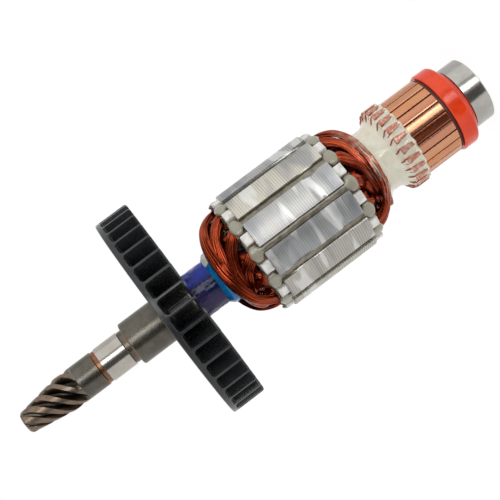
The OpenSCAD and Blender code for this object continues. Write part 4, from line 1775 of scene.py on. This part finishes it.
@dataclass
class Fan:
    """The moulded cooling fan: a back plate with radial vanes on its winding side."""

    finishes: Finishes
    vanes: int = 38
    vane_t: float = 0.85
    eye_r: float = 13.0
    bore_r: float = 7.5
    chamfer: float = 2.2
    fillet: float = 0.95
    first: float = 272.4
    hub_r: float = 10.0
    plate_t: float = 1.85
    edge_r: float = 0.8

    def vane(self, low: float, plate: float, reach: float) -> bpy.types.Object:
        """Makes one vane on the +X side, rounded at its free edge and filleted at its root.

        Args:
            low: Height of the free edge.
            plate: Height of the back plate.
            reach: Outer radius of the fan.

        Returns:
            The vane, as the object that the tree repeats.
        """
        half, fillet = self.vane_t / 2, self.fillet
        levels = [low + self.edge_r * share for share in (0.0, 0.12, 0.4, 1.0)]
        levels += [low + self.chamfer, plate - fillet]
        levels += [plate - fillet * (1 - math.sin(math.radians(a))) for a in (22, 45, 67)]
        levels += [plate - 0.02, plate + 0.4]
        points: list[Place] = []
        for z in levels:
            near = min(fillet, max(0.0, fillet - (plate - z)))
            side = half + fillet - math.sqrt(fillet**2 - near**2)
            inner = self.eye_r + max(0.0, self.chamfer - (z - low))
            near = max(0.0, self.edge_r - (z - low))
            outer = reach - self.edge_r + math.sqrt(self.edge_r**2 - near**2)
            points += [(inner, -side, z), (outer, -side, z), (outer, side, z), (inner, side, z)]
        piece = mesh_piece("fan_vanes", points, capped(4, len(levels)))
        return bevelled(piece, 0.22, segments=3, sharp=40)

    def build(self) -> None:
        """Builds and dresses the fan."""
        material = self.finishes.fan.build()
        low, high, reach = span("fan")
        plate = high - self.plate_t
        hub_z = span("fan_spacer_washer")[1]
        vanes = repeated_round(self.vane(low, plate, reach), self.vanes, self.first, material)
        place(vanes, material, "fan_plastic", "fan")
        profile = [
            (self.bore_r, hub_z),
            (self.hub_r, hub_z),
            (self.hub_r, plate - 1.0),
            (self.hub_r + 1.0, plate),
            (reach, plate),
            (reach, high),
            (self.bore_r, high),
        ]
        disc = bevelled(revolved("fan_plate", profile, steps=192), 0.5, segments=4)
        place(disc, material, "fan_plastic", "fan")


# ---------------------------------------------------------------- studio


@dataclass
class Lamp:
    """A soft lamp: its name, its direction in the view's axes, distance, size and level."""

    name: str
    direction: Place
    distance: float
    size: Point
    level: float


@dataclass
class Strip:
    """An upright strip that only gloss shows: its middle angle, its width and its level.

    Angles are in degrees round the shaft from the camera's side, towards the view's lower
    right.
    """

    name: str
    middle: float
    width: float
    level: float


@dataclass
class Studio:
    """The camera, the soft lamps, the white surroundings and the floor."""

    target_z: float = 88.0
    azimuth: float = 2.4
    elevation: float = 4.13
    roll: float = 36.95
    distance: float = 344.0
    aside: float = -1.3
    lens: float = 79.0
    surround: float = 0.9
    strip_r: float = 620.0
    strip_low: float = -420.0
    strip_high: float = 640.0
    strip_step: float = 4.0
    floor_half: float = 3000.0
    glow_share: float = 0.85
    glow_level: float = 1.06
    lamps: tuple[Lamp, ...] = (
        Lamp("top_softbox", (-0.55, 1.0, 0.55), 620, (520, 420), 0.28),
        Lamp("side_softbox", (0.9, 0.5, -0.6), 700, (400, 400), 0.16),
    )
    strips: tuple[Strip, ...] = (
        Strip("upper_wall_strip", -125, 60, 0.76),
        Strip("grey_edge_strip", -31, 12, 0.45),
        Strip("tube_glow_strip", -15, 19, 3.0),
        Strip("light_tube_strip", -16, 6, 7.5),
        Strip("tube_shade_strip", -1, 9, 0.3),
        Strip("dark_room_strip", 20, 33, 0.1),
        Strip("side_wall_strip", 98, 123, 0.82),
    )

    def axes(self) -> tuple[Vector, Vector, Vector, Vector]:
        """Finds the directions of the view.

        Returns:
            The camera's right, up and back directions, and the one across the shaft.
        """
        a, e = math.radians(self.azimuth), math.radians(self.elevation)
        back = Vector((math.sin(a) * math.cos(e), -math.cos(a) * math.cos(e), math.sin(e)))
        down = Vector((0, 0, -1))
        along = (down - back * back.dot(down)).normalized()
        across = along.cross(back)
        roll = math.radians(self.roll)
        right = along * math.cos(roll) + across * math.sin(roll)
        up = along * math.sin(roll) - across * math.cos(roll)
        return right, up, back, across

    def camera(self) -> None:
        """Adds the camera."""
        right, up, back, across = self.axes()
        target = (Vector((0, 0, self.target_z)) + across * self.aside) * MM
        data = bpy.data.cameras.new("camera")
        data.lens, data.sensor_width = self.lens, 36.0
        data.clip_start, data.clip_end = 0.01, 20.0
        camera = linked("camera", data)
        turn = Matrix((right, up, back)).transposed().to_4x4()
        camera.matrix_world = Matrix.Translation(target + back * self.distance * MM) @ turn
        bpy.context.scene.camera = camera

    def light(self) -> None:
        """Adds the lamps, each aimed at the middle of the armature."""
        right, up, back, _ = self.axes()
        middle = Vector((0, 0, self.target_z)) * MM
        for lamp in self.lamps:
            x, y, z = lamp.direction
            way = (right * x + up * y + back * z).normalized()
            data = bpy.data.lights.new(lamp.name, "AREA")
            data.shape = "RECTANGLE"
            data.size, data.size_y = (side * MM for side in lamp.size)
            data.energy = lamp.level * math.pi**2 * (lamp.distance * MM) ** 2
            box = linked(lamp.name, data)
            box.visible_glossy = False
            aim = way.to_track_quat("Z", "Y").to_matrix().to_4x4()
            box.matrix_world = Matrix.Translation(middle + way * lamp.distance * MM) @ aim

    def surroundings(self) -> None:
        """Sets a white world that lights at a plain level."""
        world = bpy.data.worlds.new("studio")
        bpy.context.scene.world = world
        world.use_nodes = True
        tree = world.node_tree
        tree.nodes.clear()
        make = Nodes(tree)
        level = make.remap(make.plainly_seen(), 0.0, 1.0, self.surround, 1.0)
        values = {"Color": linear("#ffffff"), "Strength": level}
        light = add(tree, "ShaderNodeBackground", values).outputs[0]
        add(tree, "ShaderNodeOutputWorld", {"Surface": light})

    def stand_strip(self, strip: Strip) -> None:
        """Stands one strip round the armature, lit evenly and seen only as a reflection.

        Args:
            strip: The strip to add.
        """
        cuts = max(2, round(strip.width / self.strip_step))
        first = 270 + self.azimuth - strip.middle - strip.width / 2
        points = [
            round_place(self.strip_r, first + strip.width * i / cuts, z)
            for i in range(cuts + 1)
            for z in (self.strip_low, self.strip_high)
        ]
        faces = [(2 * i, 2 * i + 1, 2 * i + 3, 2 * i + 2) for i in range(cuts)]
        card = linked(strip.name, raw_mesh(strip.name, points, faces))
        material, tree = blank(f"{strip.name}_card")
        values = {"Color": linear("#ffffff"), "Strength": strip.level}
        lit = add(tree, "ShaderNodeEmission", values).outputs[0]
        add(tree, "ShaderNodeOutputMaterial", {"Surface": lit})
        card.data.materials.append(material)
        card.visible_camera = card.visible_shadow = False
        card.visible_diffuse = card.visible_transmission = False

    def floor(self) -> None:
        """Adds the white floor, which keeps the armature's shadow."""
        half = self.floor_half
        points = [(-half, -half, 0), (half, -half, 0), (half, half, 0), (-half, half, 0)]
        floor = linked("floor", raw_mesh("floor", points, [(0, 1, 2, 3)]))
        material, tree = blank("white_paper_floor")
        make = Nodes(tree)
        share = make.calc("MULTIPLY", make.plainly_seen(), self.glow_share)
        paper = add(tree, "ShaderNodeBsdfDiffuse", {"Color": linear("#f7f7f6")}).outputs[0]
        values = {"Color": linear("#ffffff"), "Strength": self.glow_level}
        white = add(tree, "ShaderNodeEmission", values).outputs[0]
        both = add(tree, "ShaderNodeMixShader", {0: share, 1: paper, 2: white}).outputs[0]
        add(tree, "ShaderNodeOutputMaterial", {"Surface": both})
        floor.data.materials.append(material)
        floor.visible_glossy = False

    def build(self) -> None:
        """Builds the studio."""
        bpy.context.scene.view_settings.view_transform = "Standard"
        self.camera()
        self.light()
        self.surroundings()
        for strip in self.strips:
            self.stand_strip(strip)
        self.floor()


def main() -> None:
    """Builds the armature over its frame and the studio round it."""
    logging.basicConfig(level=logging.INFO, format="%(name)s: %(message)s")
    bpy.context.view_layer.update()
    finishes = Finishes()
    for assembly in (
        Shaft, Sleeve, Core, Windings, ResinNeck, Commutator, InsulatingRing, Bearing, Fan
    ):
        assembly(finishes).build()
    Studio().build()


if __name__ == "__main__":
    main()
